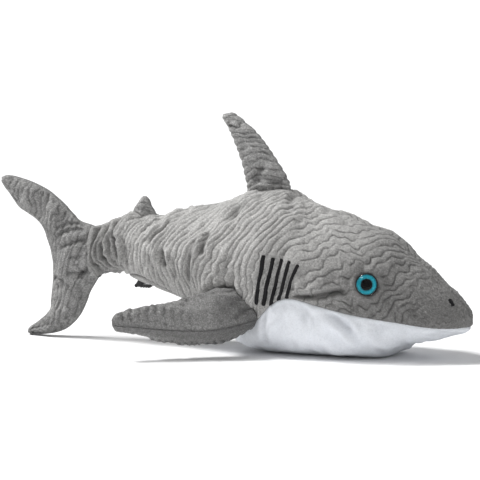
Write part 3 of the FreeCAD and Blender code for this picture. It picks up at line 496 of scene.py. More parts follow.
def iris_material():
    """Teal enamel with fine glitter, darker at both edges of the ring."""
    m, nt, b = mat("eye_teal_glitter")
    vec = obj_coords(nt)
    r = node(nt, "ShaderNodeAttribute", attribute_name="radius").outputs["Fac"]
    mid = mix(nt, ramp(nt, r, 0.0, 0.42), (0.003, 0.050, 0.075), (0.010, 0.330, 0.440))
    col = mix(nt, ramp(nt, r, 0.62, 1.0), mid, (0.006, 0.085, 0.120))
    v = node(nt, "ShaderNodeTexVoronoi", feature="F1")
    nt.links.new(vec, v.inputs["Vector"])
    v.inputs["Scale"].default_value = 1700.0
    sep = node(nt, "ShaderNodeSeparateColor")
    nt.links.new(v.outputs["Color"], sep.inputs[0])
    col = mix(nt, ramp(nt, sep.outputs[0], 0.60, 0.95, 0.0, 0.75), col, (0.05, 0.50, 0.60))
    col = mix(nt, ramp(nt, noise(nt, vec, 240.0, 3.0, 0.6), 0.45, 0.75, 0.0, 0.35), col, (0.004, 0.10, 0.14))
    nt.links.new(col, b.inputs["Base Color"])
    b.inputs["Roughness"].default_value = 0.40
    b.inputs["Metallic"].default_value = 0.15
    b.inputs["Specular IOR Level"].default_value = 0.15
    return m


def lens_material():
    """Clear dome: all that lies under it shows through, with gloss on top."""
    m, nt, b = mat("eye_clear_dome")
    vec = obj_coords(nt)
    nt.nodes.remove(b)
    out = [n for n in nt.nodes if n.type == "OUTPUT_MATERIAL"][0]
    clear = node(nt, "ShaderNodeBsdfTransparent")
    gloss = node(nt, "ShaderNodeBsdfGlossy")
    nt.links.new(ramp(nt, noise(nt, vec, 300.0, 2.0, 0.5), 0.3, 0.7, 0.03, 0.07), gloss.inputs["Roughness"])
    fres = node(nt, "ShaderNodeFresnel")
    fres.inputs["IOR"].default_value = 1.22
    both = node(nt, "ShaderNodeMixShader")
    # never more than a fifth, so the iris still shows when the eye is seen from the side
    nt.links.new(maths(nt, "MINIMUM", fres.outputs[0], 0.16), both.inputs[0])
    nt.links.new(clear.outputs[0], both.inputs[1])
    nt.links.new(gloss.outputs[0], both.inputs[2])
    nt.links.new(both.outputs[0], out.inputs[0])
    return m


IRIS, LENS = iris_material(), lens_material()


def assign(ob, m):
    ob.data.materials.clear()
    ob.data.materials.append(m)
    return ob


# ------------------------------------------------------------------ the body's fine grids
def even_stations(n, lo, hi):
    """x stations evenly spaced along the flank, so that the nose keeps small faces."""
    xs = np.concatenate([np.linspace(lo, 200, 300), np.linspace(200, hi, 900)[1:]])
    f = np.tile(np.array([0.15, 0.35, 0.5, 0.62])[None, :], (len(xs), 1))
    P, _ = trunk_points(xs, f)
    L = np.concatenate([[0], np.cumsum(np.linalg.norm(np.diff(P, axis=0), axis=2).mean(1))])
    return np.interp(np.linspace(0, L[-1], n), L, xs)


X0 = TAIL_SEAM_X - 0.4
NX, NF = ((441, 181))
xs_grey = even_stations(NX, X0, NOSE_X)
share = seam_share(xs_grey)
share = np.where(xs_grey < -123, 1.0, share)
fg = share[:, None] * np.linspace(0, 1, NF)[None, :]
P0, S0 = trunk_points(xs_grey, fg)

NXB, NB = ((209, 161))
xs_white = even_stations(NXB, -22.4, NOSE_X)
share_w = seam_share(xs_white)
half = (NB - 1) // 2
fw = share_w[:, None] + (1 - share_w[:, None]) * np.linspace(0, 1, half + 1)[None, :]
W0, _ = trunk_points(xs_white, fw)
W0[:, -1, 1] = 0

# ---- cloth: a coarse skin of the whole body, sewn along the ridge and both side seams, slack between them
SX, SA, SB = 72, 15, 7
xs_sim = even_stations(SX, X0, NOSE_X - 1.5)
sh = np.minimum(seam_share(xs_sim), 0.93)
fs = np.concatenate([sh[:, None] * np.linspace(0, 1, SA)[None, :], (sh[:, None] + (1 - sh[:, None]) * np.linspace(0, 1, SB)[None, :])[:, 1:]], 1)
Q, _ = trunk_points(xs_sim, fs)
Q[:, 0, 1] = 0
Q[:, -1, 1] = 0


def body_slack():
    """Normal moves, in mm, of the slack fabric: right and left grey sides and right and left belly halves."""
    m = Q.shape[1]
    left = (Q * (1, -1, 1))[:, 1:-1][:, ::-1]
    ring = np.concatenate([Q, left], 1)
    r = np.random.RandomState(11)
    jog = r.normal(0, 0.35, ring.shape)
    start = ring + jog
    k = ring.shape[1]
    co = np.concatenate([to_row(start), to_row(start[0].mean(0)[None]), to_row(start[-1].mean(0)[None])], 0)
    faces = []
    for i in range(SX - 1):
        for j in range(k):
            a, b = i * k + j, i * k + (j + 1) % k
            faces.append([a, a + k, b + k, b])
    for j in range(k):
        faces.append([SX * k, j, (j + 1) % k])
        faces.append([SX * k + 1, (SX - 1) * k + (j + 1) % k, (SX - 1) * k + j])
    pins = [SX * k, SX * k + 1]
    sew = [0, SA - 1, m - 1, 2 * m - 2 - (SA - 1)]
    for i in range(SX):
        for j in range(k):
            if i in (0, SX - 1) or (j in sew and i % 1 == 0):
                pins.append(i * k + j)
    out = relax_cloth("slack_body", co, faces, pins, 1.2, 0.075, 22)
    moved = out[:SX * k].reshape(SX, k, 3) * 1000.0 - (X_SHIFT, 0, 0)
    mr = moved[:, :m]
    ml = np.concatenate([moved[:, :1], moved[:, m:][:, ::-1], moved[:, m - 1:m]], 1) * (1, -1, 1)
    N = normals(Q)
    N *= np.where((N * (0, -1, 0)).sum() < 0, -1, 1)
    res = []
    for mv in (mr, ml):
        d = ((mv - Q) * N).sum(2)
        res.append(d)
    return res


def soften(D, n):
    for _ in range(n):
        E = np.pad(D, 1, mode="edge")
        D = (E[1:-1, 1:-1] * 4 + E[:-2, 1:-1] + E[2:, 1:-1] + E[1:-1, :-2] + E[1:-1, 2:]) / 8
    return D


def slack_field(d, cap, hold):
    """The wrinkles only: the broad swelling is mostly taken off, and no point moves further than cap."""
    d = d - (1 - hold) * soften(d, 30)
    return cap * np.tanh(d / cap)


slack = body_slack()
print("slack of the body, mm:", [(round(float(d.min()), 2), round(float(d.max()), 2)) for d in slack])
slack = [slack_field(d, 3.2, 0.25) for d in slack]


def sim_cols(d, a, b, shape, xs):
    """Slack of some columns of the simulated grid on a fine grid with stations xs."""
    part = d[:, a:b]
    col = cubic_rows(shape[1], part.shape[1])
    rows = part @ col.T
    t = np.interp(xs, xs_sim, np.arange(SX))
    k = np.clip(t.astype(int), 0, SX - 2)
    u = (t - k)[:, None]
    idx = [np.clip(k + o, 0, SX - 1) for o in (-1, 0, 1, 2)]
    w = (-0.5 * u + u * u - 0.5 * u ** 3, 1 - 2.5 * u * u + 1.5 * u ** 3, 0.5 * u + 2 * u * u - 1.5 * u ** 3, -0.5 * u * u + 0.5 * u ** 3)
    return sum(wi * rows[i] for wi, i in zip(w, idx))


def seat_relief(P, centre, r):
    """The eye presses the plush in, and it swells round the eye's rim."""
    d = np.linalg.norm(P - np.array(centre), axis=2)
    return -1.6 * (1 - smoothstep(d, r - 1.5, r + 1.0)) + 1.5 * np.exp(-((d - r - 3.2) / 2.6) ** 2)


EYE_AT = (159.8, -54.4, 76.3)


def crease(P, pts, depth, width, fold_shade, lip=0.35, taper=0.18, ink=0.5):
    """A crease along a path: a valley, with a soft lip either side. Adds painted shade along the valley to the shade
    field it is given.
    """
    d, t = near_path(P, pts)
    env = smoothstep(t, 0.0, taper) * (1 - smoothstep(t, 1 - taper, 1.0)) if taper else 1.0
    env = env * (d < width * 6)
    h = -depth * np.exp(-(d / width) ** 2) + lip * depth * np.exp(-((d - 2.0 * width) / (1.2 * width)) ** 2)
    fold_shade += ink * env * np.exp(-(d / ((0.5 + 0.2 * ink) * width)) ** 2)
    return h * env


def grey_relief(P, S, xs, seed, right):
    """Large creases and dents of one grey side, in mm along the normal; and how much painted shade each point gets
    where it lies in a fold.
    """
    x = P[..., 0]
    f = np.linspace(0, 1, P.shape[1])[None, :]
    fold_shade = np.zeros(P.shape[:2])
    h = np.zeros(P.shape[:2])
    # the gathered folds of the tail stock: pinched valleys that run round it, bowed back in the middle
    bow = np.sin(np.pi * np.clip(f, 0, 1)) * np.ones_like(h)
    wob = 0.9 * waves(S, x, 30, 40, seed + 1, 20) + 0.5 * waves(S, x, 12, 30, seed + 2, 20)
    folds = ((-158.6, -4.0, -154.5, 0.10, 0.96, 3.4, 1.7), (-150.6, -5.5, -146.0, 0.02, 1.0, 6.2, 2.1), (-143.6, -5.0, -139.4, 0.28, 0.98, 4.0, 1.6),
             (-136.6, -7.0, -131.0, 0.06, 0.98, 6.4, 2.2), (-129.4, -6.0, -124.0, 0.30, 0.92, 3.8, 1.6), (-122.0, -9.0, -115.5, 0.06, 0.88, 6.0, 2.2),
             (-114.0, -8.0, -106.5, 0.40, 0.92, 2.2, 1.8))
    if not right:
        folds = tuple((a + 3.1, bw * 0.8, c + 2.0, f0, f1, dp * (0.8 + 0.07 * k), w) for k, (a, bw, c, f0, f1, dp, w) in enumerate(folds))
    for a, bw, c, f0, f1, dp, w in folds:
        line = a + (c - a) * f + bw * bow + wob
        env = smoothstep(f, f0 - 0.02, f0 + 0.16) * (1 - smoothstep(f, f1 - 0.16, f1 + 0.02))
        q = np.abs(x - line)
        v = 1.12 * dp * env * (np.exp(-(q / w) ** 1.6) - 0.42 * np.exp(-((q - 2.3 * w) / (1.5 * w)) ** 2))
        h -= v
        # painted shade in the valleys of the tail stock's folds
        fold_shade += 1.05 * env * (dp / 5.8) * np.exp(-(q / (0.80 * w)) ** 2)
    # broad softness
    h += 1.1 * waves(x, S, 62, 52, seed + 5) * smoothstep(f, 0.0, 0.12) * (1 - 0.5 * smoothstep(x, 120, 200))
    h += 0.45 * waves(x, S, 27, 33, seed + 6) * (1 - 0.5 * smoothstep(x, 120, 200))
    if right:
        h += crease(P, [(-62, -26, 130), (-69, -30, 122), (-77, -34, 112), (-86, -37, 102)], 5.2, 4.0, fold_shade, 0.5, 0.22, 0.95)
        h += crease(P, [(-12, -46, 121), (-14, -52, 112), (-16, -54, 104), (-15, -56, 94)], 5.0, 4.6, fold_shade, 0.45, 0.22, 0.9)
        h += crease(P, [(-66, -42, 102), (-66, -43.5, 93), (-66, -44, 80)], 5.0, 4.0, fold_shade, 0.4, 0.22, 0.9)
        h += crease(P, [(-22, -49, 116), (-27, -52, 104), (-30, -53, 92), (-33, -53, 78), (-34, -50, 66)], 3.0, 3.2, fold_shade, 0.4, 0.18, 0.8)
        h += crease(P, [(-50, -46, 96), (-52, -47, 84), (-54, -44, 66)], 2.8, 3.2, fold_shade, 0.35, 0.18, 0.7)
        h += crease(P, [(-84, -38, 96), (-82, -39, 86), (-80, -36, 76)], 2.8, 3.0, fold_shade, 0.35, 0.18, 0.7)
        h += crease(P, [(28, -30, 150), (10, -40, 137), (-2, -46, 128)], 1.8, 5.0, fold_shade, 0.5, 0.3)
        h += crease(P, [(22, -62, 104), (14, -62, 92), (9, -62, 78)], 2.0, 4.5, fold_shade, 0.4, 0.3)
    else:
        h += crease(P, [(-58, -30, 130), (-66, -36, 118), (-70, -41, 104)], 2.4, 4.0, fold_shade)
        h += crease(P, [(4, -55, 118), (-2, -58, 106), (-2, -60, 92)], 2.4, 4.5, fold_shade)
        h += crease(P, [(-90, -36, 100), (-86, -38, 88), (-84, -36, 78)], 2.2, 4.0, fold_shade)
    # cheek: a crease from the last gill bar towards the eye, with the cheek swelling over it
    h += crease(P, [(82, -68, 61.5), (91, -67.8, 61.6), (104, -67, 63.4), (116, -65, 66.2), (128, -63, 68.8), (142, -60, 71.6)], 6.0, 3.0, fold_shade, 0.5, 0.12)
    h += crease(P, [(86, -68, 65.0), (95, -67.5, 63.4), (106, -67, 64.2)], 2.6, 2.6, fold_shade, 0.2, 0.25)
    h += crease(P, [(82, -67, 71.0), (90, -66.5, 69.4), (99, -66, 68.0)], 1.8, 2.2, fold_shade, 0.3, 0.25)
    d, _ = near_path(P, [(92, -64, 77), (112, -63, 81), (134, -60, 82)])
    h += 2.2 * np.exp(-(d / 12.0) ** 2)
    # where the pectoral fin is sewn on
    d, _ = near_path(P, [(46, -64, 37), (37, -64.5, 49), (29, -64.6, 58.5), (20.6, -64.1, 65.5), (8.5, -61.7, 66.5), (-4, -58, 62.5), (-14, -55, 57)])
    h += -2.4 * np.exp(-(d / 2.6) ** 2) + 1.0 * np.exp(-((d - 7.0) / 3.5) ** 2)
    # painted shade along the seam where the pectoral fin is sewn on
    fold_shade += 0.7 * np.exp(-(d / 2.0) ** 2)
    # pulled in under both fins on the back
    d, _ = near_path(P, [(8, 0, 157), (32, 0, 162), (55, 0, 161)])
    h += -0.8 * np.exp(-(d / 3.0) ** 2)
    h += seat_relief(P, EYE_AT, 11.0)
    return h, np.clip(fold_shade, 0, 1)


def pinned_edges(P, fade=9.0):
    """0 at the grid's seams and 1 away from them, and the distance from the nearest of the two long seams."""
    _, b = metric(P)
    e = np.minimum(b, b[:, -1:] - b)
    return smoothstep(e, 0.0, fade), e


GILLS = [[(54.1, 101.5), (50.5, 77.4), (47.9, 52.8)], [(63.9, 99.4), (59.3, 77.9), (55.0, 52.0)],
         [(72.6, 98.5), (67.8, 78.3), (62.9, 51.6)], [(81.9, 97.4), (76.4, 78.8), (71.2, 57.4)],
         [(91.8, 94.2), (84.7, 79.1), (80.1, 60.5)]]
NOSTRIL = [(230.6, 61.4), (233.6, 58.0), (236.0, 54.8)]


def neumann(gx, gs, hx, hs):
    """Field whose gradient is nearest to (gx, gs) on a rectangle, by a cosine-series Poisson solution."""
    div = np.zeros_like(gx)
    fx, fs = (gx[1:] + gx[:-1]) / 2, (gs[:, 1:] + gs[:, :-1]) / 2
    div[:-1] += fx / hx
    div[1:] -= fx / hx
    div[:, :-1] += fs / hs
    div[:, 1:] -= fs / hs
    n, m = div.shape
    big = np.concatenate([div, div[::-1]], 0)
    big = np.concatenate([big, big[:, ::-1]], 1)
    kx = (2 * np.cos(np.pi * np.arange(2 * n) / n) - 2) / hx ** 2
    ks = (2 * np.cos(np.pi * np.arange(2 * m) / m) - 2) / hs ** 2
    k = kx[:, None] + ks[None, :]
    k[0, 0] = 1
    F = np.fft.fft2(big) / k
    F[0, 0] = 0
    return np.real(np.fft.ifft2(F))[:n, :m]


LEAN_X = np.array([-163, -120, -60, 0, 40, 70, 110, 150, 190, 248.0])
LEAN_S = np.array([0, 25, 50, 75, 100, 135.0])
LEAN = np.radians(np.array([[80, 80, 82, 84, 86, 86], [60, 64, 72, 80, 86, 88], [54, 56, 64, 74, 84, 90], [50, 50, 56, 70, 84, 90],
                            [46, 46, 50, 62, 76, 86], [42, 41, 44, 56, 70, 78], [36, 34, 31, 29, 27, 26], [33, 31, 28, 24, 22, 22],
                            [36, 36, 36, 38, 40, 42], [44, 44, 44, 44, 44, 44.0]]))


def table2(T, x, s):
    i = np.clip(np.searchsorted(LEAN_X, x, side="right") - 1, 0, len(LEAN_X) - 2)
    j = np.clip(np.searchsorted(LEAN_S, s, side="right") - 1, 0, len(LEAN_S) - 2)
    u = np.clip((x - LEAN_X[i]) / (LEAN_X[i + 1] - LEAN_X[i]), 0, 1)
    v = np.clip((s - LEAN_S[j]) / (LEAN_S[j + 1] - LEAN_S[j]), 0, 1)
    u, v = u * u * (3 - 2 * u), v * v * (3 - 2 * v)
    return (T[i, j] * (1 - u) + T[i + 1, j] * u) * (1 - v) + (T[i, j + 1] * (1 - u) + T[i + 1, j + 1] * u) * v


def look_up(F, x, s, x0, hx, hs):
    i = np.clip((x - x0) / hx, 0, F.shape[0] - 1.001)
    j = np.clip(s / hs, 0, F.shape[1] - 1.001)
    a, b = i.astype(int), j.astype(int)
    u, v = i - a, j - b
    return (F[a, b] * (1 - u) + F[a + 1, b] * u) * (1 - v) + (F[a, b + 1] * (1 - u) + F[a + 1, b + 1] * u) * v


def groove_frame(x0, hx, n, hs, m, seed):
    """Fields along and across the embossed lines over (x, distance from the ridge), from how steeply the lines rise on a side view."""
    xs = x0 + hx * np.arange(n)
    y, z, run = sections(np.clip(xs, X0, NOSE_X - 1.0))
    ss = hs * np.arange(m)
    P = np.stack([np.stack([np.full(m, xs[i]), np.interp(ss, run[i], y[i]), np.interp(ss, run[i], z[i])], 1) for i in range(n)])
    gx, gs = np.meshgrid(xs, ss, indexing="ij")
    right, up = np.array([0.914, 0.407, 0.0]), np.array([-0.045, 0.102, 0.994])
    tx, ts = np.gradient(P, hx, axis=0), np.gradient(P, hs, axis=1)
    a, b, c, d = (soften(q, 2) for q in ((tx * right).sum(2), (ts * right).sum(2), (tx * up).sum(2), (ts * up).sum(2)))
    lean = table2(LEAN, gx, gs) + 0.14 * waves(gx, gs, 80, 70, seed + 9, 30)
    p, q = np.cos(lean), np.sin(lean)
    # least squares with a little damping, for where the surface turns away
    lam = 0.10
    A, B, D = a * a + c * c + lam, a * b + c * d, b * b + d * d + lam
    r1, r2 = a * p + c * q, b * p + d * q
    det = A * D - B * B
    u, v = (D * r1 - B * r2) / det, (A * r2 - B * r1) / det
    k = np.sqrt(u * u + v * v) + 1e-9
    u, v = u / k, v / k
    for i in range(n):
        # past the keel the last direction goes on
        j = min(max(int(0.9 * run[i, -1] / hs), 1), m - 1)
        u[i, j:], v[i, j:] = u[i, j], v[i, j]
        # over the back, where a side view sees nothing, it stays as it is at the shoulder
        j = int(min(42.0, 0.3 * run[i, -1]) / hs)
        u[i, :j], v[i, :j] = u[i, j], v[i, j]
    u, v = soften(u, 5), soften(v, 5)
    k = np.sqrt(u * u + v * v) + 1e-9
    u, v = u / k, v / k

    def fit(p, q, lo, hi):
        """Field whose gradient points along (p, q); its size may vary, so the lines keep their direction and change their spacing."""
        size = np.ones_like(p)
        for _ in range(80):
            F = neumann(size * p, size * q, hx, hs)
            gp, gq = np.gradient(F, hx, hs)
            size = gp * p + gq * q
            size = np.clip(size / np.mean(size[:, 10:75]), lo, hi)
        return F

    return fit(-v, u, 0.72, 1.5), fit(u, v, 0.6, 1.6)


def body_grooves(P, S, xs, seed):
    """Wandering level lines: they lean back up the flank, stand upright low down behind the gills, and lie flatter on the head."""
    x0, hx, hs = -170.0, 1.5, 1.5
    across, along = groove_frame(x0, hx, 290, hs, 100, seed)
    x = P[..., 0]
    b = look_up(across, x, S, x0, hx, hs)
    a = look_up(along, x, S, x0, hx, hs)
    pitch = 6.7
    psi = b / pitch + 0.125 * waves(a, b, 19, 70, seed, 60) + 0.26 * waves(a, b, 80, 60, seed + 1, 40) \
        + 0.085 * waves(a, b, 26, 15, seed + 2, 60) + 0.022 * waves(a, b, 8.5, 18, seed + 3, 50)
    faint = 0.66 + 0.34 * np.tanh(1.7 + 1.4 * waves(a, b, 22, 13, seed + 4, 50))
    return groove_field(psi, P), faint


def emboss(d, depth, width=1.25):
    """Puffed between the grooves, pinched at them."""
    return depth * (1 - np.exp(-(d / width) ** 1.5)) - depth + 0.30 * depth * np.tanh(d / 3.0)


print("body grids", P0.shape, W0.shape)
grey = {}
for label, seed, right, sl in (("right", 100, True, slack[0]), ("left", 300, False, slack[1])):
    P, S = P0.copy(), S0
    N = normals(P)
    N *= -1.0 if (N[..., 1] > 0).mean() > 0.5 else 1.0
    hold, e = pinned_edges(P)
    big, fold_shade = grey_relief(P, S, xs_grey, seed, right)
    ends = smoothstep(P[..., 0], -163, -155) * (1 - smoothstep(P[..., 0], 236, 246))
    big = (big + sim_cols(sl, 0, SA, P.shape, xs_grey)) * hold
    # the crown of the head is filled tight, so it stays even
    big *= 1 - 0.75 * smoothstep(P[..., 0], 100, 140) * (1 - smoothstep(S, 32, 62))
    # the tail stock's folds also break its outline at the ridge and the keel
    stock = (1 - smoothstep(P[..., 0], -132, -116)) * smoothstep(P[..., 0], -163, -158)
    big2, _ = grey_relief(P, S, xs_grey, seed, right)
    big = big + 0.55 * stock * (1 - hold) * big2
    big *= ends
    tuck = -1.3 * np.exp(-(e / 1.6) ** 2)
    behind = P[..., 0] < -123
    Pb = P + N * big[..., None]
    d, faint = body_grooves(Pb, S, xs_grey, seed + 50)
    fade = (1 - 0.9 * smoothstep(P[..., 0], 186, 222)) * (0.15 + 0.85 * smoothstep(P[..., 0], -150, -100))
    fade = fade * (0.30 + 0.70 * smoothstep(np.linalg.norm(P - np.array(EYE_AT), axis=2), 13, 20))
    bars = np.full(P.shape[:2], 99.0)
    for (xa, za), (xb, zb), (xc, zc) in GILLS:
        for (x1, z1), (x2, z2) in (((xa, za), (xb, zb)), ((xb, zb), (xc, zc))):
            t = np.clip(((P[..., 0] - x1) * (x2 - x1) + (P[..., 2] - z1) * (z2 - z1)) / ((x2 - x1) ** 2 + (z2 - z1) ** 2), 0, 1)
            bars = np.minimum(bars, np.hypot(P[..., 0] - x1 - t * (x2 - x1), P[..., 2] - z1 - t * (z2 - z1)))
    fade = fade * (0.12 + 0.88 * smoothstep(bars, 2.0, 4.6))
    fade = fade * faint
    # shallower on the head, and next to the seams, where the outline stays even
    head = smoothstep(P[..., 0], 60, 120)
    em = emboss(d, 1.35, 1.05) * fade * (1 - 0.32 * head) * (0.48 + 0.52 * smoothstep(e, 2, 20))
    fuzz = 0.16 * waves(P[..., 0], S, 3.1, 3.1, seed + 77, 40)
    fuzz = fuzz + 0.24 * smoothstep(P[..., 0], 168, 215) * waves(P[..., 0], S, 2.7, 2.7, seed + 78, 40)
    h = em + fuzz + tuck
    out = Pb + N * h[..., None]
    out[:, 0, 1] = np.minimum(out[:, 0, 1], -0.25)
    out[..., 1] = np.minimum(out[..., 1], -0.12)
    # painted shade in the grooves, stronger on the head
    g = np.exp(-(d / (0.66 + 0.16 * head)) ** 2) * fade * (1 + 0.32 * head)
    # painted shade: darker on the tail stock, over the head and snout, and low on the flank from the pectoral root
    # forward
    painted_lightness = 1 - 0.34 * (1 - smoothstep(P[..., 0], -165, -95)) - 0.42 * smoothstep(P[..., 0], 78, 190) - 0.13 * smoothstep(P[..., 0], 190, 235) - 0.22 * smoothstep(P[..., 0], 30, 75) * smoothstep(S, 40, 85) * (1 - 0.4 * smoothstep(P[..., 0], 130, 200))
    # painted shade along both long seams, where the fabric tucks in
    g = np.maximum(g, 0.55 * np.exp(-(e / 1.0) ** 2))
    grey[label] = {"P": out, "N": N, "base": Pb, "S": S}
    ob = grid_shell("body_plush_" + label, out, N, SKIN_T / 1.0 * 0.9, {"groove_shade": g, "fold_shade": fold_shade * ends, "painted_lightness": painted_lightness}, mirror=not right)
    assign(ob, GREY)
    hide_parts("back_panel_" + label, "tail_stock_panel_" + label)
    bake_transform(ob)
    grey[label]["ob"] = ob

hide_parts("trunk_stuffing", "tail_stock_stuffing")

# ---- belly and jaw
Wr, Wl = W0.copy(), W0.copy()
sides = []
for k, (label, sl) in enumerate((("right", slack[0]), ("left", slack[1]))):
    P = W0.copy()
    N = normals(P)
    N *= -1.0 if (N[..., 2] > 0).mean() > 0.5 else 1.0
    x = P[..., 0]
    _, b = metric(P)
    e = b
    hold = smoothstep(e, 0, 5) * smoothstep(P[..., 2], 1.0, 9.0) * (1 - smoothstep(x, 234, 246))
    fold_shade = np.zeros(P.shape[:2])
    h = 0.9 * waves(x, b, 60, 50, 700 + k) + 0.35 * waves(x, b, 24, 24, 720 + k)
    h += 0.8 * sim_cols(sl, SA - 1, SA + SB - 1, P.shape, xs_white)
    # painted shade where the belly sinks in, and in its creases below
    fold_shade += 0.10 * np.clip(-h, 0, 2.0)
    if k == 0:
        h += crease(P, [(116, -64, 56), (122, -63, 48.8), (132, -61, 41), (143, -56, 31), (152, -48, 22), (156, -42, 14)], 4.4, 4.0, fold_shade, 0.5, 0.3, 0.75)
        h += crease(P, [(57, -65, 52), (54.5, -62, 37), (54, -54, 21), (51, -46, 9)], 3.8, 3.6, fold_shade, 0.4, 0.3, 0.7)
        h += crease(P, [(92, -66, 55), (106, -64, 42), (109, -56, 24)], 1.8, 5.0, fold_shade, 0.5, 0.4)
    else:
        h += crease(P, [(142, -62, 50), (158, -57, 38), (172, -45, 22)], 2.0, 4.4, fold_shade, 0.5, 0.3)
        h += crease(P, [(60, -65, 38), (60, -60, 22), (55, -48, 9)], 1.8, 4.0, fold_shade, 0.4, 0.3)
    h = h * hold * (1 - 0.6 * smoothstep(x, 168, 204))
    tuck = -1.5 * np.exp(-(e / 1.8) ** 2)
    P = P + N * (h + tuck + 0.05 * waves(x, b, 2.6, 2.6, 740 + k, 30))[..., None]
    P[:, -1, 1] = 0
    P[..., 1] = np.minimum(P[..., 1], 0)
    P[..., 2] = np.maximum(P[..., 2], 0.0)
    sides.append((P, N, 0.62 * fold_shade))
(Pr, Nr, Fr), (Pl, Nl, Fl) = sides
mid = (Pr[:, -1] + Pl[:, -1]) / 2
Pr[:, -1], Pl[:, -1] = mid, mid
Wg = np.concatenate([Pr, (Pl * (1, -1, 1))[:, :-1][:, ::-1]], 1)
Wn = np.concatenate([Nr, (Nl * (1, -1, 1))[:, :-1][:, ::-1]], 1)
Wf = np.concatenate([Fr, Fl[:, :-1][:, ::-1]], 1)
belly = assign(grid_shell("belly_plush", Wg, Wn, 1.0, {"groove_shade": np.zeros(Wg.shape[:2]), "fold_shade": Wf, "painted_lightness": np.ones(Wg.shape[:2])}), WHITE)
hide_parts("belly_panel")
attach(belly, "trunk")

# ---- plush strips either side of the zip
xs_p = np.linspace(-119.5, -21.9, 133)
for label, sgn in (("right", 1), ("left", -1)):
    y, z, run = sections(xs_p)
    a = seam_share(xs_p) + 0.3 / run[:, -1]
    b = 1 - 5.0 / run[:, -1]
    f = a[:, None] + (b - a)[:, None] * np.linspace(0, 1, 33)[None, :]
    P, S = trunk_points(xs_p, f)
    N = normals(P)
    N *= -1.0 if (N[..., 2] > 0).mean() > 0.5 else 1.0
    _, e = metric(P)
    d = groove_field((P[..., 0] * 0.9 + 0.3 * e) / 7.0 + 0.7 * waves(P[..., 0], e, 30, 40, 801 + sgn), P)
    h = emboss(d, 0.8) - 1.4 * np.exp(-(e / 1.8) ** 2) - 0.5 * np.exp(-((e[:, -1:] - e) / 1.5) ** 2)
    out = P + N * h[..., None]
    # painted shade on the zip strips: in their grooves, along the tucked edge at the belly seam, and a slight overall
    # darkening
    ob = assign(grid_shell("zip_strip_plush_" + label, out, N, 1.6, {"groove_shade": np.exp(-(d / 0.9) ** 2), "fold_shade": np.exp(-(e / 1.5) ** 2), "painted_lightness": np.full(d.shape, 0.9)}, mirror=sgn < 0), GREY)
    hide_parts("zip_placket_" + label)
    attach(ob, "trunk")


# ------------------------------------------------------------------ fins
def catmull(stations, n):
    """n rows through the stations, a Catmull-Rom curve for each column."""
    p = np.array(stations, float)
    m = len(p)
    u = np.linspace(0, m - 1, n)
    k = np.clip(u.astype(int), 0, m - 2)
    t = (u - k)[:, None]
    a, b, c, d = (p[np.clip(k + o, 0, m - 1)] for o in (-1, 0, 1, 2))
    return 0.5 * (2 * b + (c - a) * t + (2 * a - 5 * b + 4 * c - d) * t ** 2 + (3 * b - a - 3 * c + d) * t ** 3)


TAIL_FIN = [((-261.5, 162.5), (-266.6, 160.4)), ((-254.5, 162.4), (-266.2, 155.4)), ((-245.0, 160.6), (-262.6, 149.6)),
            ((-233.0, 157.4), (-257.6, 144.0)), ((-221.8, 153.2), (-252.6, 137.4)), ((-212.0, 148.5), (-246.4, 130.0)),
            ((-203.6, 142.6), (-236.6, 124.4)), ((-195.0, 135.8), (-227.4, 118.8)), ((-186.4, 127.4), (-221.2, 112.8)),
            ((-177.0, 119.2), (-217.6, 106.6)), ((-167.0, 113.0), (-215.6, 100.4)), ((-163.5, 105.0), (-213.4, 94.6)),
            ((-163.5, 97.0), (-211.4, 89.0)), ((-163.5, 88.0), (-210.2, 83.0)), ((-163.5, 79.0), (-209.0, 77.0)),
            ((-163.5, 71.0), (-208.7, 70.8)), ((-163.5, 63.6), (-208.6, 64.0)), ((-163.2, 56.0), (-208.9, 56.2)),
            ((-166.2, 47.4), (-209.9, 46.8)), ((-169.2, 39.6), (-211.0, 37.4)), ((-172.8, 31.6), (-211.6, 28.8)),
            ((-177.4, 23.4), (-215.6, 22.8)), ((-184.4, 15.2), (-222.0, 17.0)), ((-193.6, 8.0), (-229.2, 11.8)),
            ((-204.0, 3.8), (-234.2, 8.6)), ((-216.0, 1.4), (-236.8, 5.8)), ((-228.0, 0.5), (-237.6, 3.6)),
            ((-234.4, 0.3), (-237.2, 2.0))]
TAIL_FIN_T = [2.0, 4.4, 6.2, 7.2, 7.8, 8.2, 8.6, 9.0, 9.4, 9.6, 9.6, 9.4, 9.0, 8.8, 8.8, 8.8, 9.0, 9.4, 9.6, 9.4, 9.0, 8.6, 8.0, 7.2, 6.0, 4.6, 3.2, 1.8]
DORSAL = [((55.0, None), (8.4, None)), ((54.4, 166.0), (7.6, 164.6)), ((51.6, 172.0), (5.8, 170.6)), ((48.6, 177.4), (4.4, 176.6)),
          ((43.6, 184.6), (2.6, 184.0)), ((38.6, 191.6), (0.0, 191.4)), ((33.4, 198.6), (-2.8, 198.6)), ((27.6, 206.0), (-6.0, 206.0)),
          ((21.0, 213.4), (-9.2, 213.0)), ((14.0, 220.0), (-12.4, 219.4)), ((7.0, 225.2), (-15.2, 224.8)), ((-1.0, 229.8), (-17.8, 229.2)),
          ((-8.4, 233.0), (-19.4, 231.8)), ((-14.0, 234.6), (-19.6, 233.4))]
DORSAL_T = [0.0, 2.6, 5.2, 7.0, 8.2, 8.6, 8.6, 8.4, 8.0, 7.6, 7.0, 6.0, 4.4, 2.2]
REAR_DORSAL = [((-92.4, None), (-118.4, None)), ((-94.4, 134.0), (-117.2, 134.0)), ((-97.4, 138.0), (-114.6, 138.0)),
               ((-100.2, 141.6), (-112.2, 141.8)), ((-102.8, 144.8), (-109.8, 145.2)), ((-104.8, 147.0), (-107.2, 147.2))]
REAR_DORSAL_T = [0.0, 2.2, 3.0, 3.0, 2.2, 0.8]
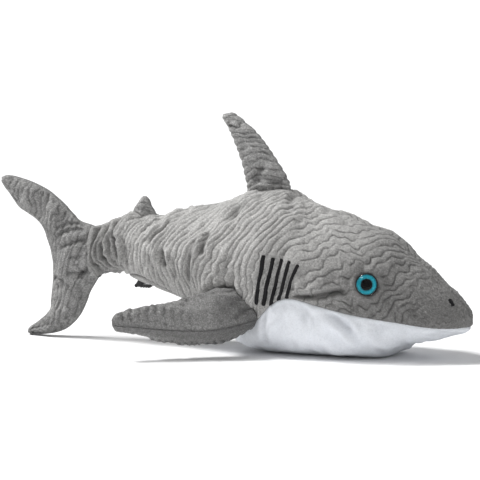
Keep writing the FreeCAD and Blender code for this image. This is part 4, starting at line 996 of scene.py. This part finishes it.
PECTORAL = [((41.3, -74.6, 35.4), (-14.5, -75.5, 55.6)), ((34.8, -80.5, 33.4), (-20.6, -80.9, 55.1)), ((27.2, -87.5, 31.3), (-26.4, -86.8, 54.2)),
            ((18.2, -95.2, 29.5), (-32.7, -93.7, 52.8)), ((7.4, -102.3, 28.7), (-39.3, -100.7, 51.4)), ((-4.2, -108.6, 28.8), (-45.5, -107.1, 50.0)),
            ((-16.8, -115.3, 29.2), (-52.2, -113.7, 48.7)), ((-29.5, -121.6, 30.2), (-58.6, -119.6, 47.8)), ((-42.4, -127.7, 31.6), (-63.9, -125.7, 46.6)),
            ((-53.9, -134.2, 32.9), (-68.6, -131.7, 45.3)), ((-62.7, -140.7, 33.8), (-72.1, -137.0, 43.8)), ((-68.7, -145.4, 35.1), (-73.6, -141.0, 41.9)),
            ((-72.3, -145.7, 37.1), (-73.7, -143.6, 40.1))]
PECT_T = [3.4, 6.4, 8.6, 10.2, 11.2, 11.6, 11.4, 10.8, 9.8, 8.6, 7.0, 4.8, 2.0]
PECT_LOW_T = [4.4, 8.4, 12.0, 14.4, 15.6, 15.6, 14.6, 13.2, 11.4, 9.4, 7.2, 4.8, 2.0]     # underside
PECT_N = (0.300, -0.438, 0.847)


def bulge(t):
    return np.clip(np.sin(np.pi * t), 0, 1) ** 0.75


def full(t):
    return np.clip(np.sin(np.pi * np.clip(t, 0, 1) ** 0.52), 0, 1) ** 0.75


def fin_sides(lead, trail, T_plus, T_minus, normal, cols, root=None, edge=0.5, profs=(bulge, bulge), both=False):
    """Mid grid of a filled fin and how far each face stands off it, on the + and - side of its normal."""
    t = (0.5 - 0.5 * np.cos(np.pi * np.linspace(0, 1, cols)))[None, :]
    M = lead[:, None] * (1 - t[..., None]) + trail[:, None] * t[..., None]
    # rounded off towards the last row, where both faces meet
    left = np.linalg.norm((lead + trail) / 2 - (lead[-1] + trail[-1]) / 2, axis=1)
    if both:
        left = np.minimum(left, np.linalg.norm((lead + trail) / 2 - (lead[0] + trail[0]) / 2, axis=1))
    tip = np.sqrt(np.clip(1 - (1 - np.clip(left / 5.0, 0, 1)) ** 2, 0, 1))[:, None]
    D = []
    for T, prof in ((T_plus, profs[0]), (T_minus, profs[1])):
        d = (T[:, None] + SKIN_T) * prof(t)
        if root is not None:
            d = np.sqrt(d ** 2 + (root[:, None] * (1 - t) ** 2 * (1 + 2 * t)) ** 2)
        D.append(d * tip + edge)
    n = np.array(normal, float)
    return M, D, n / np.linalg.norm(n)


def fin_slack(name, M, D, n, pressure, slack_by, frames):
    """Cloth simulation of a coarse closed pillow of the fin, sewn at every second point of its rim. Returns how far both faces moved."""
    r, c = M.shape[:2]
    A, B = M + n * D[0][..., None], M - n * D[1][..., None]
    co = np.concatenate([A.reshape(-1, 3), B.reshape(-1, 3)], 0)
    co = co + np.random.RandomState(3).normal(0, 0.2, co.shape)
    faces = []
    for i in range(r - 1):
        for j in range(c - 1):
            a = i * c + j
            faces.append([a, a + 1, a + c + 1, a + c])
            b = a + r * c
            faces.append([b, b + c, b + c + 1, b + 1])
    rim = [i * c for i in range(r)] + [(r - 1) * c + j for j in range(1, c)] + [i * c + c - 1 for i in range(r - 2, -1, -1)] + [j for j in range(c - 2, 0, -1)]
    for k in range(len(rim)):
        a, b = rim[k], rim[(k + 1) % len(rim)]
        faces.append([a, b, b + r * c, a + r * c])
    pins = [v + o for k, v in enumerate(rim) if k % 2 == 0 or v < c for o in (0, r * c)]
    out = relax_cloth(name, to_row(co), faces, pins, pressure, slack_by, frames, 0.25) * 1000.0 - (X_SHIFT, 0, 0)
    mA = ((out[:r * c].reshape(r, c, 3) - A) * n).sum(2)
    mB = ((out[r * c:].reshape(r, c, 3) - B) * -n).sum(2)
    return mA, mB


def fin(name, stations3, T_plus, T_minus, normal, rows, cols, seeds, nodes, lines, root=None, coarse=(30, 11), slack_by=0.09,
        ripple=0.7, pleats=0.0, cap=2.2, painted_lightness=0.9, extra=None, mirrors=(False,), profs=(bulge, bulge), depth=1.0, groove_where=None, noise3=(0.10, 0.16, 0.07), width=1.25, paint=1.0, scallop=0.0, painted_lightness_root=None, paint_low=None, both=False):
    """The two fabric faces of a fin. nodes: for the - side and the + side, entries of (piece, CAD nodes, body) for the right and the mirrored left."""
    st = np.array([list(a) + list(b) for a, b in stations3], float)

    def grids(n, m):
        R = catmull(st, n)
        Tp, Tm = (catmull(np.array(T, float)[:, None], n)[:, 0] for T in (T_plus, T_minus))
        return fin_sides(R[:, :3], R[:, 3:], Tp, Tm, normal, m, None if root is None else root(R), 0.35, profs, both)

    M, D, n = grids(rows, cols)
    Mc, Dc, _ = grids(*coarse)
    mv = fin_slack("slack_" + name, Mc, Dc, n, 1.0, slack_by, 18)
    print(name, "slack, mm:", [(round(float(m.min()), 2), round(float(m.max()), 2)) for m in mv])
    made = []
    flat_M = M
    for k, sgn in enumerate((-1, 1)):
        seed = seeds + 40 * k
        d = D[0] if sgn > 0 else D[1]
        a, b = metric(flat_M)
        u = lines(flat_M, a, b, sgn)
        u = u + noise3[0] * waves(a, b, 46, 15, seeds + 11, 40) + noise3[1] * waves(a, b, 50, 50, seeds + 12, 30) + noise3[2] * waves(a, b, 13, 22, seeds + 13, 40)
        M = flat_M
        if scallop:
            # the folds run over the edge, so it is lumpy
            chord = flat_M[:, -1:] - flat_M[:, :1]
            chord = chord / (np.linalg.norm(chord, axis=2, keepdims=True) + 1e-9)
            t = b / (b[:, -1:] + 1e-9)
            gap = np.abs(u - np.round(u)) * 2
            inn = scallop * ((1 - gap) ** 2 - 0.35) * smoothstep(a, 0, 8) * (1 - smoothstep(a, a[-1:] - 6, a[-1:]))
            M = flat_M + chord * (inn * ((1 - t) ** 3 - t ** 3))[..., None]
        e = np.minimum(b, b[:, -1:] - b)
        e_all = np.minimum(e, a[-1:] - a)
        if both:
            e_all = np.minimum(e_all, a)
        sl = slack_field(mv[0] if sgn > 0 else mv[1], cap, 0.15)
        big = upsample(sl, M.shape[:2]) * smoothstep(e_all, 0, 6)
        # puckers where the seam gathers the edge
        big = big + ripple * np.exp(-e / 5.0) * waves(a, b * 0.4, 9.0, 40.0, seed + 5, 24) * smoothstep(e, 0.0, 1.5)
        big = big + 0.7 * waves(a, b, 34, 30, seed + 6) * smoothstep(e_all, 0, 10)
        fold_shade = np.zeros(M.shape[:2])
        if pleats:
            env = np.exp(-(a / 13.0) ** 2) * smoothstep(e, 0, 6)
            ph = np.sin(2 * np.pi * (b - 0.25 * a) / 11.0 + 1.6 * waves(a, b, 24, 20, seed + 8, 20))
            big = big + pleats * env * ph
            # painted shade in the valleys of the pleats
            fold_shade += 0.6 * env * np.clip(-ph, 0, 1) ** 2
        if extra is not None:
            big = big + extra(M, fold_shade, seed, sgn)
        H = np.maximum(d + big * smoothstep(d, 0.4, 3.0), 0.25)
        P = M + sgn * n * H[..., None]
        N = normals(P)
        if (N * (sgn * n)).sum() < 0:
            N = -N
        dist = groove_field(u, P)
        fade = smoothstep(e_all, 0.5, 4.0) * (0.7 + 0.3 * np.tanh(1.5 + 1.4 * waves(a, b, 20, 14, seed + 4, 40)))
        if groove_where is not None:
            fade = fade * groove_where(a, b, M, sgn)
        em = emboss(dist, depth, width) * fade + 0.14 * waves(a, b, 3.0, 3.0, seed + 14, 40)
        out = P + N * (em * smoothstep(H, 0.5, 3.0))[..., None]
        # the two faces never cross the middle
        off = ((out - M) * n).sum(2) * sgn
        out = out + sgn * n * np.clip(0.2 - off, 0, None)[..., None]
        low = sgn < 0 and paint_low is not None
        # painted shade in the grooves, and along the rim where both faces tuck into the seam
        g = np.maximum((paint_low if low else paint) * np.exp(-(dist / (1.15 if low else 0.8)) ** 2) * fade, 0.6 * np.exp(-(e_all / 1.0) ** 2))
        for mir in mirrors:
            piece, cad, body = nodes[k][1 if mir else 0]
            # painted shade: the third attribute below darkens each fin, more towards its root when a root value is
            # given
            ob = assign(grid_shell(piece, out, N, 1.2, {"groove_shade": g, "fold_shade": np.clip(fold_shade, 0, 1), "painted_lightness": painted_lightness + ((painted_lightness_root or painted_lightness) - painted_lightness) * (1 - smoothstep(a, 8, 75))}, mirror=mir), GREY_FIN)
            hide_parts(*cad)
            made.append((ob, body))
    return made


def flat3(stations):
    return [((a[0], 0.0, a[1]), (b[0], 0.0, b[1])) for a, b in stations]


def tail_root(R):
    z = R[:, 2]
    zt, zb = float(ridge_z(TAIL_SEAM_X)) - 0.4, float(keel_z(TAIL_SEAM_X)) + 0.4
    u = (z - (zt + zb) / 2) / ((zt - zb) / 2)
    ok = (np.abs(u) < 1) & (np.abs(R[:, 0] - TAIL_SEAM_X) < 9)
    return np.where(ok, (float(half_w(TAIL_SEAM_X)) - 0.9) * np.sqrt(np.clip(1 - u * u, 0, 1)), 0.0)


def tail_creases(M, fold_shade, seed, sgn):
    """Creases that fan out from the narrow middle of the tail fin."""
    h = np.zeros(M.shape[:2])
    for pts, dep, w in (([(-166, 0, 108), (-178, 0, 112), (-192, 0, 108), (-204, 0, 101)], 4.6, 2.6),
                        ([(-166, 0, 113), (-178, 0, 117), (-190, 0, 116), (-202, 0, 110)], 3.6, 2.2),
                        ([(-160, 0, 101), (-172, 0, 101), (-188, 0, 95), (-200, 0, 90)], 3.0, 2.4),
                        ([(-158, 0, 74), (-168, 0, 70), (-177, 0, 64)], 4.2, 3.0),
                        ([(-207, 0, 62), (-200, 0, 60), (-190, 0, 58.5)], 4.0, 2.0),
                        ([(-188, 0, 66), (-178, 0, 68), (-168, 0, 66)], 2.4, 2.2),
                        ([(-165, 0, 86), (-176, 0, 84), (-186, 0, 82)], 1.6, 2.4),
                        ([(-226, 0, 20), (-216, 0, 14), (-206, 0, 11)], 1.2, 3.0)):
        h += crease(M, [(p[0] + 1.5 * max(sgn, 0), 0, p[2] + 2.5 * max(sgn, 0)) for p in pts], dep, w, fold_shade, 0.35, 0.25)
    return h


def tail_lines(M, a, b, sgn):
    return (M[..., 0] * 0.97 - 0.22 * M[..., 2]) / 6.2


TAIL_FIN = [((-156.0 if 50 < l[1] < 108 else l[0], l[1]), t) for l, t in TAIL_FIN]
TAIL_FIN[10] = ((-160.5, 114.2), TAIL_FIN[10][1])
TAIL_FIN[17] = ((-158.0, 60.5), TAIL_FIN[17][1])
# painted shade: the tail fin is painted darker
made = fin("tail", flat3(TAIL_FIN), TAIL_FIN_T, TAIL_FIN_T, (0, 1, 0), 273, 65, 900,
           [[("tail_fin_plush_right", ["tail_fin_panel_right", "tail_fin_stuffing"], "tail")], [("tail_fin_plush_left", ["tail_fin_panel_left"], "tail")]],
           tail_lines, root=tail_root, coarse=(46, 11), extra=tail_creases, painted_lightness=0.68, depth=1.1, width=1.1, noise3=(0.13, 0.24, 0.10), paint=0.75, both=True)
for ob, body in made:
    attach(ob, body)

DORSAL[0] = ((55.4, 158.6), (8.0, 155.0))
DORSAL_TV = [4.0, 5.6, 6.4] + DORSAL_T[3:-2] + [5.2, 3.2]
DORSAL[-3:] = [((1.0, 230.2), (-17.4, 226.6)), ((-4.4, 233.8), (-19.0, 229.8)), ((-9.0, 235.4), (-18.0, 233.4))]


def dorsal_lines(M, a, b, sgn):
    mid = (M[:, :1, 0] + M[:, -1:, 0]) / 2
    return (M[..., 2] + 0.014 * (M[..., 0] - mid - 2) ** 2 - 0.06 * (M[..., 0] - mid)) / 6.1


def dorsal_dents(M, fold_shade, seed, sgn):
    h = crease(M, [(16, 0, 167), (22, 0, 173), (25, 0, 181), (24, 0, 188)], 5.4, 5.2, fold_shade, 0.35, 0.3)
    h += crease(M, [(12, 0, 166), (30, 0, 171), (46, 0, 170)], 2.4, 2.4, fold_shade, 0.4, 0.2)
    h += crease(M, [(36, 0, 164), (46, 0, 169), (53, 0, 176)], 1.8, 2.2, fold_shade, 0.4, 0.2)
    h += crease(M, [(-12, 0, 226), (-6, 0, 221), (2, 0, 220)], 1.6, 2.4, fold_shade, 0.3, 0.2)
    return h if sgn < 0 else h * 0.8


made = fin("dorsal", flat3(DORSAL), DORSAL_TV, DORSAL_TV, (0, 1, 0), 121, 61, 1000,
           [[("dorsal_fin_plush_right", ["dorsal_fin_panel_right", "dorsal_fin_stuffing"], "dorsal_fin")], [("dorsal_fin_plush_left", ["dorsal_fin_panel_left"], "dorsal_fin")]],
           dorsal_lines, coarse=(20, 11), pleats=0.8, extra=dorsal_dents, painted_lightness=0.86, depth=1.7, width=1.6, ripple=0.6, noise3=(0.10, 0.20, 0.05), paint=0.8, scallop=1.4)
for ob, body in made:
    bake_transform(ob)

REAR_DORSAL[0] = ((-91.6, 128.4), (-119.0, 127.4))
REAR_TV = [2.8, 3.6, 3.8, 3.8, 3.4, 2.6]
REAR_DORSAL[-3:] = [((-98.6, 141.6), (-111.6, 141.8)), ((-100.8, 145.0), (-109.4, 145.2)), ((-103.6, 147.4), (-106.6, 147.4))]


def rear_lines(M, a, b, sgn):
    return (M[..., 0] * 0.3 + M[..., 2]) / 6.0


made = fin("rear_dorsal", flat3(REAR_DORSAL), REAR_TV, REAR_TV, (0, 1, 0), 41, 41, 1100,
           [[("rear_dorsal_fin_plush_right", ["rear_dorsal_fin_panel_right", "rear_dorsal_fin_stuffing"], "rear_dorsal_fin")],
            [("rear_dorsal_fin_plush_left", ["rear_dorsal_fin_panel_left"], "rear_dorsal_fin")]],
           rear_lines, coarse=(8, 8), pleats=0.4, cap=0.8, ripple=0.3, painted_lightness=0.9, depth=0.6)
for ob, body in made:
    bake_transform(ob)

PECT = [((46.5, -61.0, 37.6), (-14.5, -51.5, 57.6))] + PECTORAL
PECT_TV = [19.0, 17.0, 14.6, 12.8, 12.0] + PECT_T[4:]
PECT_LOW_TV = [17.0, 20.0, 22.0, 22.6, 22.6, 22.0, 20.6, 18.4, 15.6, 12.6, 10.0, 7.6, 5.0, 2.2]


def pect_lines(M, a, b, sgn):
    if sgn > 0:
        return (0.914 * M[..., 0] + 0.407 * M[..., 1] + 0.06 * M[..., 2]) / 8.0
    return (0.66 * M[..., 0] + 0.30 * M[..., 1] - 0.68 * M[..., 2]) / 4.6


def pect_where(a, b, M, sgn=1):
    return 0.20 + 0.80 * smoothstep(a, 40, 90) if sgn > 0 else 0.9 * np.ones(a.shape)


def pect_creases(M, fold_shade, seed, sgn):
    h = np.zeros(M.shape[:2])
    if sgn > 0:
        h += crease(M, [(30, -68, 42), (24, -78, 42), (14, -90, 42)], 1.6, 5.0, fold_shade, 0.3, 0.3)
        h += crease(M, [(36, -66, 40), (34, -74, 38), (28, -84, 36)], 1.4, 3.0, fold_shade, 0.4, 0.3)
    return h


# painted shade: the pectoral fin is painted darker, darkest at its root, which lies in the body's shade
made = fin("pectoral", PECT, PECT_TV, PECT_LOW_TV, PECT_N, 149, 73, 1200,
           [[("pectoral_lower_plush_right", ["pectoral_lower_right"], "pectoral_fin_right"), ("pectoral_lower_plush_left", ["pectoral_lower_left"], "pectoral_fin_left")],
            [("pectoral_upper_plush_right", ["pectoral_upper_right", "pectoral_stuffing_right"], "pectoral_fin_right"),
             ("pectoral_upper_plush_left", ["pectoral_upper_left", "pectoral_stuffing_left"], "pectoral_fin_left")]],
           pect_lines, coarse=(26, 13), pleats=0.7, mirrors=(False, True), profs=(bulge, full), painted_lightness=0.62, painted_lightness_root=0.46, paint_low=1.25, depth=1.3, width=1.6, noise3=(0.07, 0.16, 0.06), paint=0.6, groove_where=pect_where, extra=pect_creases)
root_mid = np.array([16.0, -59.1, 48.0])
out_dir = np.cross((-60.0, 9.6, 20.0), PECT_N)
out_dir = out_dir / np.linalg.norm(out_dir)
if out_dir[1] > 0:
    out_dir = -out_dir
for ob, body in made:
    a, b = root_mid + out_dir * 2.0, root_mid + out_dir * 20.0
    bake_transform(ob)


# ------------------------------------------------------------------ embroidery
def on_flank(x, z, label):
    """Point and normal of the finished grey surface (without its grooves), on the right side's layout."""
    G = grey[label]
    i = np.interp(x, xs_grey, np.arange(len(xs_grey)))
    k = np.clip(int(i), 0, len(xs_grey) - 2)
    t = i - k
    row = G["base"][k] * (1 - t) + G["base"][k + 1] * t
    nrm = G["N"][k] * (1 - t) + G["N"][k + 1] * t
    j = np.interp(-z, -row[:, 2], np.arange(row.shape[0]))
    m = min(int(j), row.shape[0] - 2)
    u = j - m
    p = row[m] * (1 - u) + row[m + 1] * u
    q = nrm[m] * (1 - u) + nrm[m + 1] * u
    return p, q / np.linalg.norm(q)




def stitched_bars(name, paths, width, crown, pitch, label, sink=0.9):
    """Rows of satin stitches: a rounded bar whose threads run across it, slightly slanted and uneven, with ragged ends."""
    verts, faces, stitch_gap_shade = [], [], []
    step = 0.19
    cols = 11
    for b, ((x0, z0), (x1, z1), (x2, z2)) in enumerate(paths):
        rs = np.random.RandomState(60 + b + (40 if label == "left" else 0))
        cx, cz = 2 * x1 - (x0 + x2) / 2, 2 * z1 - (z0 + z2) / 2
        L = math.hypot(x2 - x0, z2 - z0)
        n = max(int(L / step), 12)
        base = len(verts)
        jit = np.interp(np.arange(n + 1), np.arange(0, n + 4, 3), rs.normal(0, 0.10, len(np.arange(0, n + 4, 3))))
        for i in range(n + 1):
            t = i / n
            x = (1 - t) ** 2 * x0 + 2 * t * (1 - t) * cx + t * t * x2
            z = (1 - t) ** 2 * z0 + 2 * t * (1 - t) * cz + t * t * z2
            tx = 2 * (1 - t) * (cx - x0) + 2 * t * (x2 - cx)
            tz = 2 * (1 - t) * (cz - z0) + 2 * t * (z2 - cz)
            k = math.hypot(tx, tz)
            tx, tz = tx / k, tz / k
            endw = min(1.0, 0.62 + 0.5 * min(t, 1 - t) * L)
            half_w_ = (width / 2 + jit[i]) * endw
            for j in range(cols):
                v = (j - (cols - 1) / 2) / ((cols - 1) / 2)
                slant = 0.25 * v * width / 2
                s_here = t * L + slant
                th = s_here / pitch
                ridge = abs(math.sin(math.pi * th))
                p, q = on_flank(x - tz * half_w_ * v, z + tx * half_w_ * v, label)
                hgt = crown * math.sqrt(max(0.0, 1 - v * v)) * endw + 0.16 * ridge * (1 - abs(v)) ** 0.3 - (sink if abs(v) > 0.99 else 0.0) + 0.15
                pp = p + q * hgt
                verts.append(pp)
                # painted shade in the gaps between stitches, stored per point
                stitch_gap_shade.append(1 - ridge)
        for i in range(n):
            for j in range(cols - 1):
                a = base + i * cols + j
                faces.append([a, a + 1, a + cols + 1, a + cols])
        # underside closes the bar
        low = len(verts)
        for i in (0, n):
            pass
        for i in range(n + 1):
            a, c = verts[base + i * cols], verts[base + i * cols + cols - 1]
        ring = [base + i * cols for i in range(n + 1)] + [base + n * cols + j for j in range(1, cols)] + \
            [base + i * cols + cols - 1 for i in range(n - 1, -1, -1)] + [base + j for j in range(cols - 2, 0, -1)]
        for i in range(n):
            a, c = base + i * cols, base + i * cols + cols - 1
            faces.append([a, a + cols, c + cols, c])
        faces.append([base + j for j in range(cols)])
        faces.append([base + n * cols + j for j in range(cols - 1, -1, -1)])
    V = np.array(verts)
    if label == "left":
        V = V * (1, -1, 1)
    me = bpy.data.meshes.new(name)
    me.from_pydata(to_row(V).tolist(), [], faces)
    at = me.attributes.new("stitch_gap_shade", "FLOAT", "POINT")
    at.data.foreach_set("value", np.array(stitch_gap_shade, np.float32))
    me.update()
    import bmesh
    bm = bmesh.new()
    bm.from_mesh(me)
    bmesh.ops.recalc_face_normals(bm, faces=bm.faces)
    bm.to_mesh(me)
    bm.free()
    me.polygons.foreach_set("use_smooth", [True] * len(me.polygons))
    ob = bpy.data.objects.new(name, me)
    scene.collection.objects.link(ob)
    assign(ob, THREAD)
    return ob


for label in ("right", "left"):
    ob = stitched_bars("gill_satin_stitch_" + label, GILLS, 3.9, 1.5, 0.62, label)
    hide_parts("gill_stitches_" + label)
    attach(ob, "trunk")
    ob = stitched_bars("nostril_satin_stitch_" + label, [NOSTRIL], 1.9, 0.4, 0.5, label)
    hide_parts("nostril_stitches_" + label)
    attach(ob, "trunk")


# ------------------------------------------------------------------ eyes
def eye_axis():
    p0, p1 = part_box("eye_washer_right")
    a = (p0 + p1) / 2
    q0, q1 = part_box("eye_pupil_right")
    b = (q0 + q1) / 2
    return np.array(b), np.array((b - a).normalized())


def lathe(name, centre, axis, profile, seg, attr=None):
    """Turned piece: profile is (radius, height) in metres along the axis."""
    z = np.array(axis, float)
    x = np.cross(z, (0, 0, 1.0))
    x /= np.linalg.norm(x)
    y = np.cross(z, x)
    verts, faces, at = [], [], []
    for k, (r, h) in enumerate(profile):
        for i in range(seg):
            a = 2 * math.pi * i / seg
            verts.append(np.array(centre) + z * h + (x * math.cos(a) + y * math.sin(a)) * r)
            at.append(attr[k] if attr else 0.0)
    m = len(profile)
    for k in range(m - 1):
        for i in range(seg):
            a, b = k * seg + i, k * seg + (i + 1) % seg
            faces.append([a, b, b + seg, a + seg])
    faces.append([i for i in range(seg)][::-1])
    faces.append([(m - 1) * seg + i for i in range(seg)])
    me = bpy.data.meshes.new(name)
    me.from_pydata([list(map(float, v)) for v in verts], [], faces)
    if attr:
        w = me.attributes.new("radius", "FLOAT", "POINT")
        w.data.foreach_set("value", np.array(at, np.float32))
    me.update()
    import bmesh
    bm = bmesh.new()
    bm.from_mesh(me)
    bmesh.ops.recalc_face_normals(bm, faces=bm.faces)
    bm.to_mesh(me)
    bm.free()
    me.polygons.foreach_set("use_smooth", [True] * len(me.polygons))
    ob = bpy.data.objects.new(name, me)
    scene.collection.objects.link(ob)
    return ob


for label, sgn in (("right", 1), ("left", -1)):
    c, ax = eye_axis()
    c, ax = c * (1, sgn, 1), ax * (1, sgn, 1)
    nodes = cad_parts
    assign(nodes["eye_back_" + label], EYE_BLACK)
    assign(nodes["eye_washer_" + label], WASHER)
    assign(nodes["eye_lens_" + label], LENS)
    # iris: a shallow cone that rises towards the rim; pupil: a low black dome
    ri, ro = 0.0056, 0.00985
    prof, at = [], []
    for k in range(13):
        t = k / 12
        prof.append((ri + (ro - ri) * t, 0.00022 + 0.00055 * math.sin(math.pi * 0.5 * t)))
        at.append(t)
    prof = [(ri, -0.0002)] + prof + [(ro, -0.0002)]
    at = [0.0] + at + [1.0]
    iris = assign(lathe("iris_ring_" + label, c, ax, prof, 96, at), IRIS)
    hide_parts("eye_iris_" + label)
    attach(iris, "trunk")
    prof = [(0.0057, -0.0003)] + [(0.0057 * math.cos(a), 0.0002 + 0.0005 * math.sin(a)) for a in np.linspace(0, math.pi / 2 * 0.98, 9)]
    pup = assign(lathe("pupil_" + label, c, ax, prof, 72), PUPIL_BLACK)
    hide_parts("eye_pupil_" + label)
    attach(pup, "trunk")

for n in ("zip_teeth_right", "zip_teeth_left", "zip_stops"):
    assign(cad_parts[n], ZIP_MOULD)
for n in ("zip_tape_right", "zip_tape_left"):
    assign(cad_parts[n], TAPE)
for n in ("zip_slider", "zip_pull_tab"):
    assign(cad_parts[n], ZIP_ENAMEL)

# ------------------------------------------------------------------ floor, light and camera
me = bpy.data.meshes.new("floor")
me.from_pydata([(-30, -30, -0.0004), (30, -30, -0.0004), (30, 30, -0.0004), (-30, 30, -0.0004)], [], [(0, 1, 2, 3)])
floor = bpy.data.objects.new("floor", me)
scene.collection.objects.link(floor)
m, nt, b = mat("pale_floor")
b.inputs["Base Color"].default_value = (0.93, 0.93, 0.935, 1)
b.inputs["Roughness"].default_value = 0.9
b.inputs["Specular IOR Level"].default_value = 0.05
assign(floor, m)

world = bpy.data.worlds.new("studio")
scene.world = world
world.use_nodes = True
world.node_tree.nodes["Background"].inputs[0].default_value = (1.0, 1.0, 1.0, 1)
world.node_tree.nodes["Background"].inputs[1].default_value = 0.45


def area(name, at, aim, size, power, colour=(1, 1, 1)):
    L = bpy.data.lights.new(name, "AREA")
    L.shape = "SQUARE"
    L.size = size
    L.energy = power
    L.color = colour
    o = bpy.data.objects.new(name, L)
    scene.collection.objects.link(o)
    o.location = at
    o.rotation_euler = (Vector(aim) - Vector(at)).to_track_quat("-Z", "Y").to_euler()
    return o


aim = (0.0, 0.0, 0.08)
sun_data = bpy.data.lights.new("key", "SUN")
sun_data.energy = 2.85
sun_data.angle = math.radians(14)
sun = bpy.data.objects.new("key", sun_data)
scene.collection.objects.link(sun)
sun.rotation_euler = Vector((-0.56, -0.04, 0.83)).to_track_quat("Z", "Y").to_euler()
area("top_softbox", tuple(np.array(aim) + np.array([-0.45, -0.29, 0.84]) * 2.2), aim, 0.55, 14)

cam_data = bpy.data.cameras.new("camera")
cam = bpy.data.objects.new("camera", cam_data)
scene.collection.objects.link(cam)
AZ, EL, DIST = math.radians(24.0), math.radians(6.4), 4.5
target = Vector((X_SHIFT / 1000, 0.0, 0.1076))
back = Vector((math.sin(AZ) * math.cos(EL), -math.cos(AZ) * math.cos(EL), math.sin(EL)))
cam.location = target + back * DIST
cam.rotation_euler = (-back).to_track_quat("-Z", "Y").to_euler()
cam_data.sensor_width = 36.0
cam_data.lens = 36.0 * DIST / 0.48
cam_data.clip_end = 100.0
scene.camera = cam
scene.view_settings.view_transform = "Standard"
scene.view_settings.look = "None"
